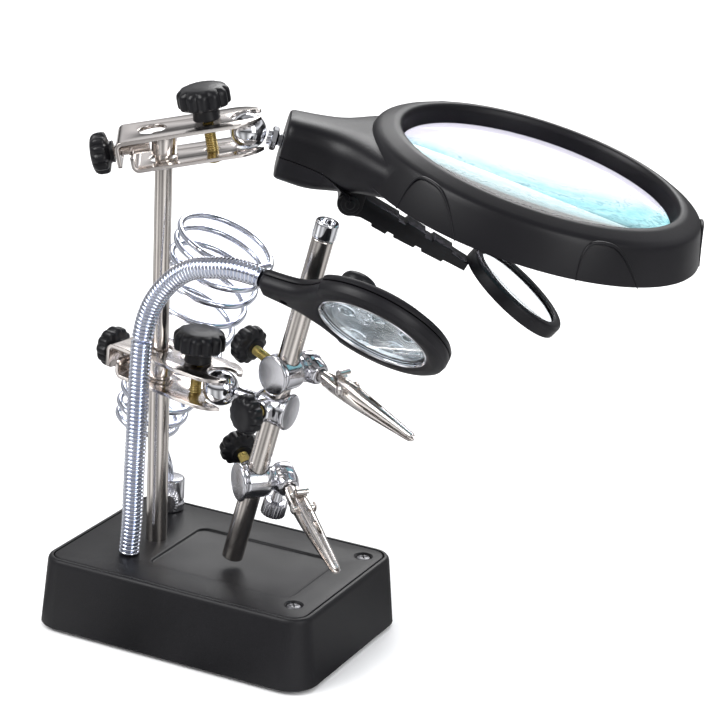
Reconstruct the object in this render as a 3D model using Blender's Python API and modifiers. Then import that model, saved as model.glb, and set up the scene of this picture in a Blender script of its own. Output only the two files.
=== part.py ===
"""Helping hands clamp: weighted base, pole with two clamp arms, magnifier head, goose-neck lamp,
cross rod with two alligator clips, and a coiled soldering iron holder.

Frame: origin at the centre of the base's underside, +X to the right along the base's long side,
+Y to the back, +Z up. Sizes below are millimetres; MM turns them into Blender's metres.
"""
import math

import bmesh
import bpy
from mathutils import Matrix, Vector

MM = 0.001
GAP = 0.3                                  # clearance between neighbouring pieces

# Base
BASE_LENGTH, BASE_DEPTH, BASE_TOP = 100.0, 68.6, 25.5
BASE_FLARE = 2.2                           # the walls stand out this much at the bottom
BASE_CORNER, BASE_WALL, SHELL_FOOT = 7.5, 2.2, 1.5
LID_LENGTH, LID_DEPTH, LID_THICK, LID_RECESS = 95.6, 64.2, 2.0, 2.6
TRAY_LEFT, TRAY_RIGHT, TRAY_FRONT, TRAY_BACK, TRAY_DEPTH = -17.5, 37.0, -19.0, 17.5, 0.8
LID_SCREWS = {"lid_screw_front": (40.4, -22.4), "lid_screw_back": (41.8, 24.9)}
CELL_RADIUS, CELL_LENGTH, CELL_PITCH, CELL_LEFT = 5.25, 44.5, 11.2, 0.0
DOOR = (10.0, 42.0, -18.0, 18.0)           # x and y limits of the battery door

# Pole and the two clamp arms that it carries
POLE = (-25.4, 0.4)
POLE_LOWER_RADIUS, POLE_UPPER_RADIUS = 3.55, 2.9
POLE_FOOT, POLE_STEP, POLE_TOP = 15.3, 91.0, 166.0
ARM_WIDTH, PLATE_THICK, PLATE_MID = 20.0, 1.3, 4.9
UPPER_SCREW_AT, LOWER_SCREW_AT = 15.2, 16.0   # clamp screws, along the arm from the pole
THUMB_AT = -16.4                           # the knob that presses on the pole
BALL_RADIUS = 6.0
UPPER_ARM_Z, UPPER_BALL_AT = 164.2, 27.6
UPPER_ARM_X, UPPER_ARM_NORMAL = (0.860, 0.4735, 0.191), (-0.134, -0.152, 0.979)
LOWER_ARM_Z, LOWER_BALL_AT = 88.5, 26.5
LOWER_ARM_X, LOWER_ARM_NORMAL = (0.986, -0.165, -0.07), (0.069, -0.0116, 0.9975)

# Magnifier head, in a frame at the upper ball: X along the handle, Z up through the lens
HEAD_X, HEAD_NORMAL = (0.8596, 0.4501, -0.2418), (0.2501, 0.042, 0.9673)
LENS_AT, LENS_Z, LENS_RADIUS = 94.6, 9.7, 46.6
RIM_RADIUS, RIM_Z = 47.9, 7.3              # the last two are above the lens plane
WALL_TOP_RADIUS, WALL_TOP_Z = 55.8, 4.2
WALL_FOOT_RADIUS, WALL_FOOT_Z = 59.4, -8.2
HEAD_WALL = 2.0
HANDLE = [(11.5, 10.5, -11.6, 9.8), (22.0, 12.0, -11.8, 10.6), (30.0, 15.5, -9.6, 11.3),
          (40.0, 25.0, -5.0, 12.4), (54.0, 38.0, 0.6, 13.0)]   # x, half width, bottom, top
PART_LINE_Z, PART_LINE_SLOPE = -2.5, -0.15  # split between the frame and the lower cover
COVER_END = 36.0
AUX_PIVOT, AUX_ARM_DROP, AUX_RING_DROP = (38.2, -12.4), 14.3, 11.1
AUX_ARM_LENGTH, AUX_RING_AT = 44.6, 63.6
AUX_LENS_RADIUS, AUX_RING_RADIUS = 17.0, 19.6
EAR_GAP, EAR_THICK, EAR_RADIUS = 4.4, 1.9, 4.3   # the two ears that hold the small lens's pivot

# Cross rod, its holders and clips
ROD_FOOT, ROD_DIRECTION, ROD_RADIUS, ROD_LENGTH = (7.2, -4.4, 28.0), (0.2436, 0.0, 0.9698), 3.6, 125.6
ROD_CAP = 6.0
MIDDLE_AT, UPPER_HOLDER_AT, LOWER_HOLDER_AT = 57.9, 70.9, 30.0    # along the rod from its foot
HOLDER_FRONT, HOLDER_SOCKET = -6.0, 10.2  # along a holder's own axis, from the rod
UPPER_HOLDER_AXIS, LOWER_HOLDER_AXIS = (0.33, 0.95, 0.0), (0.643, 0.766, 0.0)
UPPER_CLIP_DROP, LOWER_CLIP_DROP = 12.0, 16.0
UPPER_KNOB_TURN, LOWER_KNOB_TURN = 15.0, 23.0   # above the horizontal
CLIP_LENGTH, CLIP_PIVOT = 50.0, 19.0

# Goose-neck lamp
NECK_RADIUS = 3.5
NECK_PATH = [(-26.3, -15.8, 25.8), (-25.4, -15.8, 36.0), (-25.0, -15.9, 45.0), (-24.6, -16.0, 56.0),
             (-24.1, -16.1, 67.0), (-23.6, -16.3, 78.0), (-23.1, -16.5, 88.0), (-22.6, -16.7, 95.5),
             (-21.9, -17.0, 102.5), (-20.6, -17.3, 108.3), (-18.7, -17.6, 113.5), (-16.1, -18.0, 118.2),
             (-12.8, -18.4, 122.4), (-9.0, -18.9, 126.2), (-4.8, -19.5, 129.3), (0.0, -20.2, 131.6),
             (5.1, -21.0, 132.8), (10.1, -21.5, 133.8), (15.1, -21.9, 134.2), (20.0, -22.3, 134.0),
             (25.6, -22.7, 132.4)]
NECK_SPLIT = 8                             # the bend joint is at this point of the path
LAMP_NECK, LAMP_X, LAMP_BACK = (25.9, -22.6, 133.0), (38.8, 0.0, -8.9), (0.119, 0.69, 0.714)
LAMP_CENTRE, LAMP_RADIUS, WINDOW_RADIUS = 39.8, 24.6, 17.8
BUTTON_AT = (33.0, -13.0)

# Soldering iron holder
BOSS = (-35.2, 25.7)
BOSS_RADIUS, BOSS_TOP = 5.0, 37.5
COIL_WIRE, COIL_TURNS, COIL_STEPS = 1.1, 11, 12
COIL_START, COIL_END = (-48.6, 28.6, 53.0), (-16.6, 29.6, 127.0)
COIL_RADII, COIL_CROWDING = (8.5, 17.2), 0.07   # the turns are closer together at both ends

COLLECTION = "helping_hands_clamp"
X, Y, Z = Vector((1, 0, 0)), Vector((0, 1, 0)), Vector((0, 0, 1))


# Scene, materials and frames ---------------------------------------------------------------

def clear_scene():
    for obj in list(bpy.data.objects):
        bpy.data.objects.remove(obj, do_unlink=True)


def new_collection(name):
    collection = bpy.data.collections.new(name)
    bpy.context.scene.collection.children.link(collection)
    return collection


def material(name, colour, roughness, metallic=0.0):
    mat = bpy.data.materials.get(name) or bpy.data.materials.new(name)
    mat.use_nodes = True
    shader = mat.node_tree.nodes["Principled BSDF"]
    shader.inputs["Base Color"].default_value = (*colour, 1.0)
    shader.inputs["Roughness"].default_value = roughness
    shader.inputs["Metallic"].default_value = metallic
    mat.diffuse_color = (*colour, 1.0)
    return mat


def mm(point):
    return Vector(point) * MM


def axes_matrix(origin, x_axis, z_axis):
    """World matrix, in metres, of a frame whose Z is exact and whose X is squared up to it."""
    z = Vector(z_axis).normalized()
    x = Vector(x_axis)
    x = (x - x.dot(z) * z).normalized()
    matrix = Matrix((x, z.cross(x), z)).transposed().to_4x4()
    matrix.translation = mm(origin)
    return matrix


def frame(name, origin, x_axis=X, z_axis=Z, parent=None):
    """An empty on a joint's axis; with a parent, origin and axes are in the parent's frame."""
    empty = bpy.data.objects.new(name, None)
    PARTS.objects.link(empty)
    matrix = axes_matrix(origin, x_axis, z_axis)
    empty.matrix_world = parent.matrix_world @ matrix if parent else matrix
    if parent:
        world = empty.matrix_world.copy()
        empty.parent = parent
        empty.matrix_parent_inverse = parent.matrix_world.inverted()
        empty.matrix_world = world
    return empty


def place(obj, parent, mat, at=(0, 0, 0), along=Z, side=X, smooth=True):
    """Put a solid into a frame: its own Z along one direction and its own X near another."""
    collection = PARTS if mat else CUTTERS
    if obj.name not in collection.objects:
        collection.objects.link(obj)
    local = axes_matrix(at, side if abs(Vector(along).normalized().dot(side)) < 0.99 else Y, along)
    if parent:
        obj.parent = parent
        obj.matrix_parent_inverse = Matrix.Identity(4)
    obj.matrix_local = local
    if mat:
        obj.data.materials.append(material(*mat))
        if smooth:
            obj.data.shade_smooth()
            obj.data.set_sharp_from_angle(angle=math.radians(35))
    else:
        obj.hide_render = True
        obj.display_type = "WIRE"
    bpy.context.view_layer.update()
    return obj


# Builders of single solids, all in millimetres and in their own frame -----------------------

def mesh_object(name, bm):
    bmesh.ops.scale(bm, vec=(MM, MM, MM), verts=bm.verts)
    bmesh.ops.recalc_face_normals(bm, faces=bm.faces)
    mesh = bpy.data.meshes.new(name)
    bm.to_mesh(mesh)
    bm.free()
    return bpy.data.objects.new(name, mesh)


def turned(name, profile, steps=20, closed=False):
    """A profile of (radius, z) turned about Z; it runs down the outer side, top to bottom."""
    bm = bmesh.new()
    points = [bm.verts.new((radius * MM, 0, z * MM)) for radius, z in profile]
    for first, second in zip(points, points[1:] + (points[:1] if closed else [])):
        if first is not second:
            bm.edges.new((first, second))
    mesh = bpy.data.meshes.new(name)
    bm.to_mesh(mesh)
    bm.free()
    obj = bpy.data.objects.new(name, mesh)
    screw = obj.modifiers.new("turn", "SCREW")
    screw.steps = screw.render_steps = steps
    screw.use_merge_vertices = True
    screw.merge_threshold = 0.00001
    return obj


def rod(name, radius, bottom, top, steps=20):
    return turned(name, [(0, top), (radius, top), (radius, bottom), (0, bottom)], steps)


def pipe(name, radius, bore, bottom, top, steps=20):
    return turned(name, [(bore, top), (radius, top), (radius, bottom), (bore, bottom)], steps, True)


def ball(name, radius, segments=18, rings=10):
    bm = bmesh.new()
    bmesh.ops.create_uvsphere(bm, u_segments=segments, v_segments=rings, radius=radius)
    return mesh_object(name, bm)


def box(name, low, high):
    bm = bmesh.new()
    bmesh.ops.create_cube(bm, size=1)
    size = [b - a for a, b in zip(low, high)]
    bmesh.ops.scale(bm, vec=size, verts=bm.verts)
    bmesh.ops.translate(bm, vec=[(a + b) / 2 for a, b in zip(low, high)], verts=bm.verts)
    return mesh_object(name, bm)


def arc(centre, radius, start, end, steps):
    """Points on a circle, in degrees from start to end."""
    angles = [math.radians(start + (end - start) * i / steps) for i in range(steps + 1)]
    return [(centre[0] + radius * math.cos(a), centre[1] + radius * math.sin(a)) for a in angles]


def rounded(left, right, front, back, radius, steps=4):
    return (arc((right - radius, back - radius), radius, 0, 90, steps)
            + arc((left + radius, back - radius), radius, 90, 180, steps)
            + arc((left + radius, front + radius), radius, 180, 270, steps)
            + arc((right - radius, front + radius), radius, 270, 360, steps))


def sheet(name, outline, bottom, top, holes=()):
    """A flat outline, with holes, as a filled 2D curve of real thickness along Z."""
    curve = bpy.data.curves.new(name, "CURVE")
    curve.dimensions = "2D"
    curve.fill_mode = "BOTH"
    curve.extrude = (top - bottom) / 2 * MM
    for loop in [outline, *holes]:
        spline = curve.splines.new("POLY")
        spline.points.add(len(loop) - 1)
        for point, (x, y) in zip(spline.points, loop):
            point.co = (x * MM, y * MM, 0, 1)
        spline.use_cyclic_u = True
    obj = solid_from_curve(name, curve)
    obj.data.transform(Matrix.Translation((0, 0, (top + bottom) / 2 * MM)))
    return obj


def tube(name, points, radius, resolution=2):
    curve = bpy.data.curves.new(name, "CURVE")
    curve.dimensions = "3D"
    curve.bevel_depth = radius * MM
    curve.bevel_resolution = resolution
    curve.use_fill_caps = True
    spline = curve.splines.new("POLY")
    spline.points.add(len(points) - 1)
    for point, co in zip(spline.points, points):
        point.co = (*mm(co), 1)
    return solid_from_curve(name, curve)


def solid_from_curve(name, curve):
    source = bpy.data.objects.new(name + "_curve", curve)
    bpy.context.scene.collection.objects.link(source)
    evaluated = source.evaluated_get(bpy.context.evaluated_depsgraph_get())
    mesh = bpy.data.meshes.new_from_object(evaluated)
    bpy.data.objects.remove(source, do_unlink=True)
    bm = bmesh.new()
    bm.from_mesh(mesh)
    bmesh.ops.remove_doubles(bm, verts=bm.verts, dist=0.000002)
    bmesh.ops.recalc_face_normals(bm, faces=bm.faces)
    bm.to_mesh(mesh)
    bm.free()
    mesh.materials.clear()
    return bpy.data.objects.new(name, mesh)


def loft(name, rings):
    """A closed skin through rings of points that all have the same count."""
    bm = bmesh.new()
    rows = [[bm.verts.new(point) for point in ring] for ring in rings]
    for row, following in zip(rows, rows[1:]):
        for i in range(len(row)):
            j = (i + 1) % len(row)
            bm.faces.new((row[i], row[j], following[j], following[i]))
    bm.faces.new(rows[0])
    bm.faces.new(rows[-1])
    return mesh_object(name, bm)


def knob(name, radius, height, neck_radius, neck_height, lobes=12):
    """A lobed hand knob standing on z=0: flared skirt, neck, and a fluted head."""
    base = neck_height
    profile = [(0, base + height), (radius * 0.84, base + height), (radius, base + height - 1.1),
               (radius, base + 0.8), (radius * 0.86, base), (neck_radius, base - 0.6),
               (neck_radius, 0), (0, 0)]
    obj = turned(name, profile, steps=lobes * 2)
    mesh = evaluated_mesh(obj)
    for vertex in mesh.vertices:
        distance = math.hypot(vertex.co.x, vertex.co.y)
        if distance > radius * 0.8 * MM:
            wave = 0.5 - 0.5 * math.cos(lobes * math.atan2(vertex.co.y, vertex.co.x))
            vertex.co.xy *= 1 - 0.09 * wave
    return bpy.data.objects.new(name, mesh)


def evaluated_mesh(obj):
    """The mesh of an object with its modifiers applied; the object itself is removed."""
    if not obj.users_collection:
        bpy.context.scene.collection.objects.link(obj)
    bpy.context.view_layer.update()
    name = obj.name
    evaluated = obj.evaluated_get(bpy.context.evaluated_depsgraph_get())
    mesh = bpy.data.meshes.new_from_object(evaluated)
    bpy.data.objects.remove(obj, do_unlink=True)
    mesh.name = name
    return mesh


def combine(target, other, operation):
    """A Boolean against another object, which stays as a hidden cutter."""
    if other.name not in CUTTERS.objects:
        CUTTERS.objects.link(other)
    other.hide_render = True
    other.display_type = "WIRE"
    modifier = target.modifiers.new(other.name, "BOOLEAN")
    modifier.object = other
    modifier.operation = operation
    modifier.solver = "EXACT"
    return target


def cutter(obj, parent=None, at=(0, 0, 0), along=Z, side=X):
    obj.name += "_cutter"
    return place(obj, parent, None, at, along, side)


def cut(target, other):
    return combine(target, other, "DIFFERENCE")


def add(target, other):
    return combine(target, other, "UNION")


# Materials: name, colour, roughness, metallic -----------------------------------------------

BLACK = ("black_plastic", (0.022, 0.022, 0.026), 0.45)
BLACK_KNOB = ("knob_plastic", (0.016, 0.016, 0.019), 0.38)
RUBBER = ("rubber", (0.02, 0.02, 0.02), 0.85)
NICKEL = ("nickel_plate", (0.62, 0.58, 0.55), 0.22, 1.0)
CHROME = ("chrome", (0.72, 0.73, 0.76), 0.12, 1.0)
CASTING = ("die_casting", (0.60, 0.60, 0.62), 0.28, 1.0)
ZINC = ("yellow_zinc", (0.62, 0.50, 0.26), 0.35, 1.0)
STEEL = ("dark_steel", (0.2, 0.2, 0.2), 0.4, 1.0)
GLASS = ("glass", (0.80, 0.93, 0.95), 0.05)
IRON = ("cast_iron", (0.12, 0.12, 0.12), 0.6, 1.0)
LABEL = ("cell_sleeve", (0.10, 0.12, 0.20), 0.4)
REFLECTOR = ("led_board", (0.75, 0.76, 0.78), 0.3)


# Base --------------------------------------------------------------------------------------

def make_base_shell():
    half_x, half_y = BASE_LENGTH / 2, BASE_DEPTH / 2
    top = rounded(-half_x, half_x, -half_y, half_y, BASE_CORNER)
    foot = rounded(-half_x - BASE_FLARE, half_x + BASE_FLARE, -half_y - BASE_FLARE,
                   half_y + BASE_FLARE, BASE_CORNER + BASE_FLARE)
    edge = [(x * (1 - 0.8 / half_x), y * (1 - 0.8 / half_y)) for x, y in top]
    shell = loft("base_shell", [[(x, y, SHELL_FOOT) for x, y in foot],
                                [(x, y, BASE_TOP - 1.0) for x, y in top],
                                [(x, y, BASE_TOP) for x, y in edge]])
    place(shell, None, BLACK)
    wall = BASE_WALL
    hollow = sheet("base_hollow", rounded(-half_x + wall, half_x - wall, -half_y + wall,
                                          half_y - wall, BASE_CORNER - wall + 1),
                   0, BASE_TOP - LID_RECESS - 2.0)
    recess = sheet("lid_recess", rounded(-LID_LENGTH / 2 - GAP, LID_LENGTH / 2 + GAP,
                                         -LID_DEPTH / 2 - GAP, LID_DEPTH / 2 + GAP, 5.5),
                   BASE_TOP - LID_RECESS, BASE_TOP + 1)
    cut(shell, cutter(hollow))
    cut(shell, cutter(recess))
    for x, y, radius in [(*POLE, POLE_LOWER_RADIUS + GAP), (*BOSS, 2.6)]:
        cut(shell, cutter(rod("shell_hole", radius, 0, BASE_TOP + 1, 16), at=(x, y, 0)))


def make_lid():
    bottom = BASE_TOP - LID_THICK
    outline = rounded(-LID_LENGTH / 2, LID_LENGTH / 2, -LID_DEPTH / 2, LID_DEPTH / 2, 5.2)
    holes = [arc(POLE, POLE_LOWER_RADIUS + GAP, 0, 345, 23), arc(BOSS, 2.6, 0, 345, 23)]
    lid = place(sheet("base_lid", outline, bottom, BASE_TOP, holes), None, BLACK)
    tray = sheet("lid_tray", rounded(TRAY_LEFT, TRAY_RIGHT, TRAY_FRONT, TRAY_BACK, 4.0),
                 BASE_TOP - TRAY_DEPTH, BASE_TOP + 1)
    cut(lid, cutter(tray))
    for name, (x, y) in LID_SCREWS.items():
        seat = turned(name + "_seat", [(0, 1), (3.3, 1), (3.3, 0), (1.7, -1.2), (1.7, -3), (0, -3)], 16)
        cut(lid, cutter(seat, at=(x, y, BASE_TOP)))
        screw = turned(name, [(0, -0.1), (2.9, -0.1), (2.9, -0.25), (1.4, -1.3), (1.4, -2.3), (0, -2.3)], 16)
        place(screw, None, STEEL, at=(x, y, BASE_TOP))
        for low, high in [((-1.9, -0.3, -0.7), (1.9, 0.3, 1)), ((-0.3, -1.9, -0.7), (0.3, 1.9, 1))]:
            cut(screw, cutter(box(name + "_slot", low, high), at=(x, y, BASE_TOP)))


def make_underside():
    half_x, half_y = BASE_LENGTH / 2 - BASE_WALL - GAP, BASE_DEPTH / 2 - BASE_WALL - GAP
    left, right, front, back = DOOR
    window = rounded(left, right, front, back, 2.0)
    cover = sheet("bottom_cover", rounded(-half_x, half_x, -half_y, half_y, 6.3), 1.8, 3.6, [window])
    place(cover, None, BLACK)
    door = sheet("battery_door", rounded(left + GAP, right - GAP, front + GAP, back - GAP, 1.7), 1.9, 3.4)
    place(door, None, BLACK)
    pad = sheet("rubber_pad", rounded(-46.5, 46.5, -30.5, 30.5, 4.0), 0.0, 1.5,
                [rounded(left - 1, right + 1, front - 1, back + 1, 2.0)])
    place(pad, None, RUBBER)


def make_ballast_and_cells():
    ballast = box("ballast_block", (-45.5, -29.0, 3.9), (-3.5, 29.0, 15.0))
    place(ballast, None, IRON, smooth=False)
    cut(ballast, cutter(rod("boss_screw_hole", 2.6, 0, 20, 16), at=(*BOSS, 0)))
    for index in range(3):
        cell = turned(f"battery_cell_{index + 1}",
                      [(0, CELL_LENGTH), (1.9, CELL_LENGTH), (1.9, CELL_LENGTH - 1.0),
                       (CELL_RADIUS, CELL_LENGTH - 1.0), (CELL_RADIUS, 0), (0, 0)], 16)
        place(cell, None, LABEL, at=(CELL_LEFT, (index - 1) * CELL_PITCH, 4.4 + CELL_RADIUS), along=X)


def make_pole():
    lower = turned("pole_lower", [(0, POLE_STEP), (POLE_LOWER_RADIUS - 0.5, POLE_STEP),
                                  (POLE_LOWER_RADIUS, POLE_STEP - 0.5),
                                  (POLE_LOWER_RADIUS, POLE_FOOT), (0, POLE_FOOT)])
    place(lower, None, NICKEL, at=(*POLE, 0))
    upper = turned("pole_upper", [(0, POLE_TOP), (POLE_UPPER_RADIUS - 0.5, POLE_TOP),
                                  (POLE_UPPER_RADIUS, POLE_TOP - 0.5),
                                  (POLE_UPPER_RADIUS, POLE_STEP + GAP), (0, POLE_STEP + GAP)])
    place(upper, None, NICKEL, at=(*POLE, 0))


# Clamp arms --------------------------------------------------------------------------------

def bent_plate(name, arm, ball_at, screw_at, top, pole_hole):
    """One of an arm's two plates: flat, hooked round the ball, its pole end bent inward."""
    sign = 1 if top else -1
    inner, outer = PLATE_MID - PLATE_THICK / 2, PLATE_MID + PLATE_THICK / 2
    reach, drop, bend = (15.2, 9.0, 2.6) if top else (10.9, 6.6, 2.6)
    end = ball_at + 8.0
    notch = 3.4 if top else 4.8
    profile = ([(end, outer)] + [(-reach + bend, outer)]
               + arc((-reach + bend, outer - bend), bend, 105, 180, 4)
               + [(-reach, outer - drop), (-reach + PLATE_THICK, outer - drop)]
               + arc((-reach + bend, outer - bend), bend - PLATE_THICK, 180, 105, 3)
               + [(-reach + bend, inner), (end, inner)])
    profile = [(x, z * sign) for x, z in profile]
    if sign < 0:
        profile.reverse()
    plate = sheet(name, profile, -ARM_WIDTH / 2 - 1, ARM_WIDTH / 2 + 1)
    place(plate, arm, NICKEL, along=-Y)
    half = ARM_WIDTH / 2
    plan = ([(-reach - 1, half), (-reach - 1, -half)]
            + arc((ball_at - 4.0, 0), half, -90, 90, 10))
    keep = sheet(name + "_plan", plan, -12, 12)
    combine(plate, cutter(keep, arm), "INTERSECT")
    cut(plate, cutter(rod(name + "_ball_hole", 4.9, -12, 12, 20), arm, at=(ball_at, 0, 0)))
    cut(plate, cutter(rod(name + "_screw_hole", 2.5, -12, 12, 16), arm, at=(screw_at, 0, 0)))
    cut(plate, cutter(box(name + "_notch", (ball_at + 1, -notch, -12), (end + 2, notch, 12)), arm))
    cut(plate, cutter(rod(name + "_pole_hole", 4.65, -12, 12, 20), arm, at=(pole_hole, 0, 0)))
    cut(plate, cutter(rod(name + "_thumb_hole", 2.6, -22, -8, 16), arm, along=X, side=Y))
    return plate


def make_arm(prefix, arm, ball_at, screw_at, pole_radius, pole_frame, pole_holes):
    sleeve_half = 3.3
    sleeve = pipe(prefix + "_sleeve", pole_radius + 1.2, pole_radius + GAP, -sleeve_half, sleeve_half)
    place(sleeve, pole_frame, NICKEL)
    bent_plate(prefix + "_top_plate", arm, ball_at, screw_at, True, pole_holes[0])
    bent_plate(prefix + "_bottom_plate", arm, ball_at, screw_at, False, pole_holes[1])
    tip = pole_radius + 1.2 + 0.6
    thumb = knob(prefix + "_pole_knob", 7.0, 5.2, 3.4, 2.0)
    thumb_frame = frame(prefix + "_pole_knob_axis", (THUMB_AT, 0, 0), Y, -X, arm)
    place(thumb, thumb_frame, BLACK_KNOB)
    add(thumb, cutter(rod(prefix + "_thumb_shaft", 2.0, THUMB_AT + tip, 1.0, 16), thumb_frame))
    seat = PLATE_MID + PLATE_THICK / 2 + GAP
    screw_frame = frame(prefix + "_clamp_axis", (screw_at, 0, 0), X, Z, arm)
    place(rod(prefix + "_clamp_bolt", 2.0, -8.6, seat, 16), screw_frame, ZINC)
    top_knob = knob(prefix + "_clamp_knob", 8.75, 6.6, 4.2, 4.2)
    place(top_knob, screw_frame, BLACK_KNOB, at=(0, 0, seat + GAP))
    place(ball(prefix + "_ball", BALL_RADIUS), arm, CHROME, at=(ball_at, 0, 0))


def make_upper_arm():
    pole_frame = frame("upper_slide_axis", (*POLE, UPPER_ARM_Z))
    arm = frame("upper_arm_axis", (*POLE, UPPER_ARM_Z), UPPER_ARM_X, UPPER_ARM_NORMAL)
    make_arm("upper", arm, UPPER_BALL_AT, UPPER_SCREW_AT, POLE_UPPER_RADIUS, pole_frame, (-3.0, -0.9))
    return arm


def make_lower_arm():
    pole_frame = frame("lower_slide_axis", (*POLE, LOWER_ARM_Z))
    arm = frame("lower_arm_axis", (*POLE, LOWER_ARM_Z), LOWER_ARM_X, LOWER_ARM_NORMAL)
    make_arm("lower", arm, LOWER_BALL_AT, LOWER_SCREW_AT, POLE_LOWER_RADIUS, pole_frame, (-0.9, 0.0))
    return arm


def ball_centre(arm, ball_at):
    return arm.matrix_world @ mm((ball_at, 0, 0)) / MM


# Magnifier head ----------------------------------------------------------------------------

def handle_ring(x, half_width, bottom, top, inset=0.0):
    """A rounded section across the handle, as a superellipse of twenty points."""
    half_height = (top - bottom) / 2 - inset
    middle = (top + bottom) / 2
    points = []
    for i in range(20):
        angle = 2 * math.pi * i / 20
        c, s = math.cos(angle), math.sin(angle)
        y = math.copysign(abs(c) ** 0.55, c) * (half_width - inset)
        z = math.copysign(abs(s) ** 0.55, s) * half_height
        points.append((x, y, middle + z))
    return points


def make_handle_half(name, head, keep_above):
    half = loft(name, [handle_ring(*row) for row in HANDLE])
    place(half, head, BLACK)
    inner = [(x + (HEAD_WALL if i == 0 else 0), *rest) for i, (x, *rest) in enumerate(HANDLE[:3])]
    hollow = loft(name + "_hollow", [handle_ring(*row, inset=HEAD_WALL) for row in inner])
    cut(half, cutter(hollow, head))
    lens_bore = rod(name + "_lens_clear", WALL_TOP_RADIUS - 1.2, -30, 30, 48)
    cut(half, cutter(lens_bore, head, at=(LENS_AT, 0, LENS_Z)))
    tilt = Vector((1, 0, PART_LINE_SLOPE))
    normal = Vector((-PART_LINE_SLOPE, 0, 1))
    offset = GAP / 2 if keep_above else -GAP / 2
    low, high = ((0, -60, -40), (90, 60, offset)) if keep_above else ((0, -60, offset), (90, 60, 40))
    side = box(name + "_part_line", low, high)
    cut(half, cutter(side, head, at=(0, 0, PART_LINE_Z - PART_LINE_SLOPE * 10), along=normal, side=tilt))
    return half


def make_head(arm):
    centre = ball_centre(arm, UPPER_BALL_AT)
    head = frame("head_axis", centre, HEAD_X, HEAD_NORMAL)
    stem_start = BALL_RADIUS + GAP
    stem = turned("magnifier_stem", [(0, 17.0), (3.0, 17.0), (3.0, 14.2), (2.0, 14.2), (2.0, 9.8),
                                     (3.9, 9.8), (3.9, 7.6), (2.6, 7.6), (2.6, stem_start),
                                     (0, stem_start + 0.2)], 16)
    place(stem, head, CHROME, along=X, side=Y)
    upper = make_handle_half("magnifier_frame", head, True)
    wall = HEAD_WALL
    ring = turned("magnifier_ring", [
        (LENS_RADIUS + 0.4, RIM_Z - 1.6), (RIM_RADIUS, RIM_Z), (WALL_TOP_RADIUS - 1.5, WALL_TOP_Z + 0.8),
        (WALL_TOP_RADIUS, WALL_TOP_Z - 0.8), (WALL_FOOT_RADIUS, WALL_FOOT_Z),
        (WALL_FOOT_RADIUS - wall, WALL_FOOT_Z), (WALL_TOP_RADIUS - wall, WALL_TOP_Z - wall - 0.6),
        (RIM_RADIUS + wall, RIM_Z - wall - 1.2), (RIM_RADIUS + wall, -3.0), (LENS_RADIUS + 0.4, -3.0)],
        44, True)
    add(upper, cutter(ring, head, at=(LENS_AT, 0, LENS_Z)))
    cut(upper, cutter(rod("frame_stem_hole", 3.3, 8, 13.9, 16), head, along=X, side=Y))
    for side in (-1, 1):
        near, far = sorted((side * EAR_GAP, side * (EAR_GAP + EAR_THICK)))
        ear = sheet(f"aux_ear_{side + 1}", arc((0, 0), EAR_RADIUS, 180, 360, 8)
                    + [(EAR_RADIUS, 7.4), (-1.4, 7.4), (-1.4, EAR_RADIUS - 0.5)], -far, -near)
        add(upper, cutter(ear, head, at=(AUX_PIVOT[0], 0, AUX_PIVOT[1]), along=-Y))
    cut(upper, cutter(rod("ear_pin_hole", 1.8, -8, 8, 16), head,
                      at=(AUX_PIVOT[0], 0, AUX_PIVOT[1]), along=-Y))
    lower = make_handle_half("magnifier_cover", head, False)
    cut(lower, cutter(box("cover_end", (COVER_END, -60, -40), (90, 60, 40)), head))
    cut(lower, cutter(rod("cover_stem_hole", 3.3, 8, 13.9, 16), head, along=X, side=Y))
    lens_radius = LENS_RADIUS
    lens = turned("magnifier_lens", [(0, 5.2), (18, 4.5), (34, 2.6), (lens_radius, 0.3),
                                     (lens_radius, -0.9), (0, -0.9)], 36)
    place(lens, head, GLASS, at=(LENS_AT, 0, LENS_Z))
    return head


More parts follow.
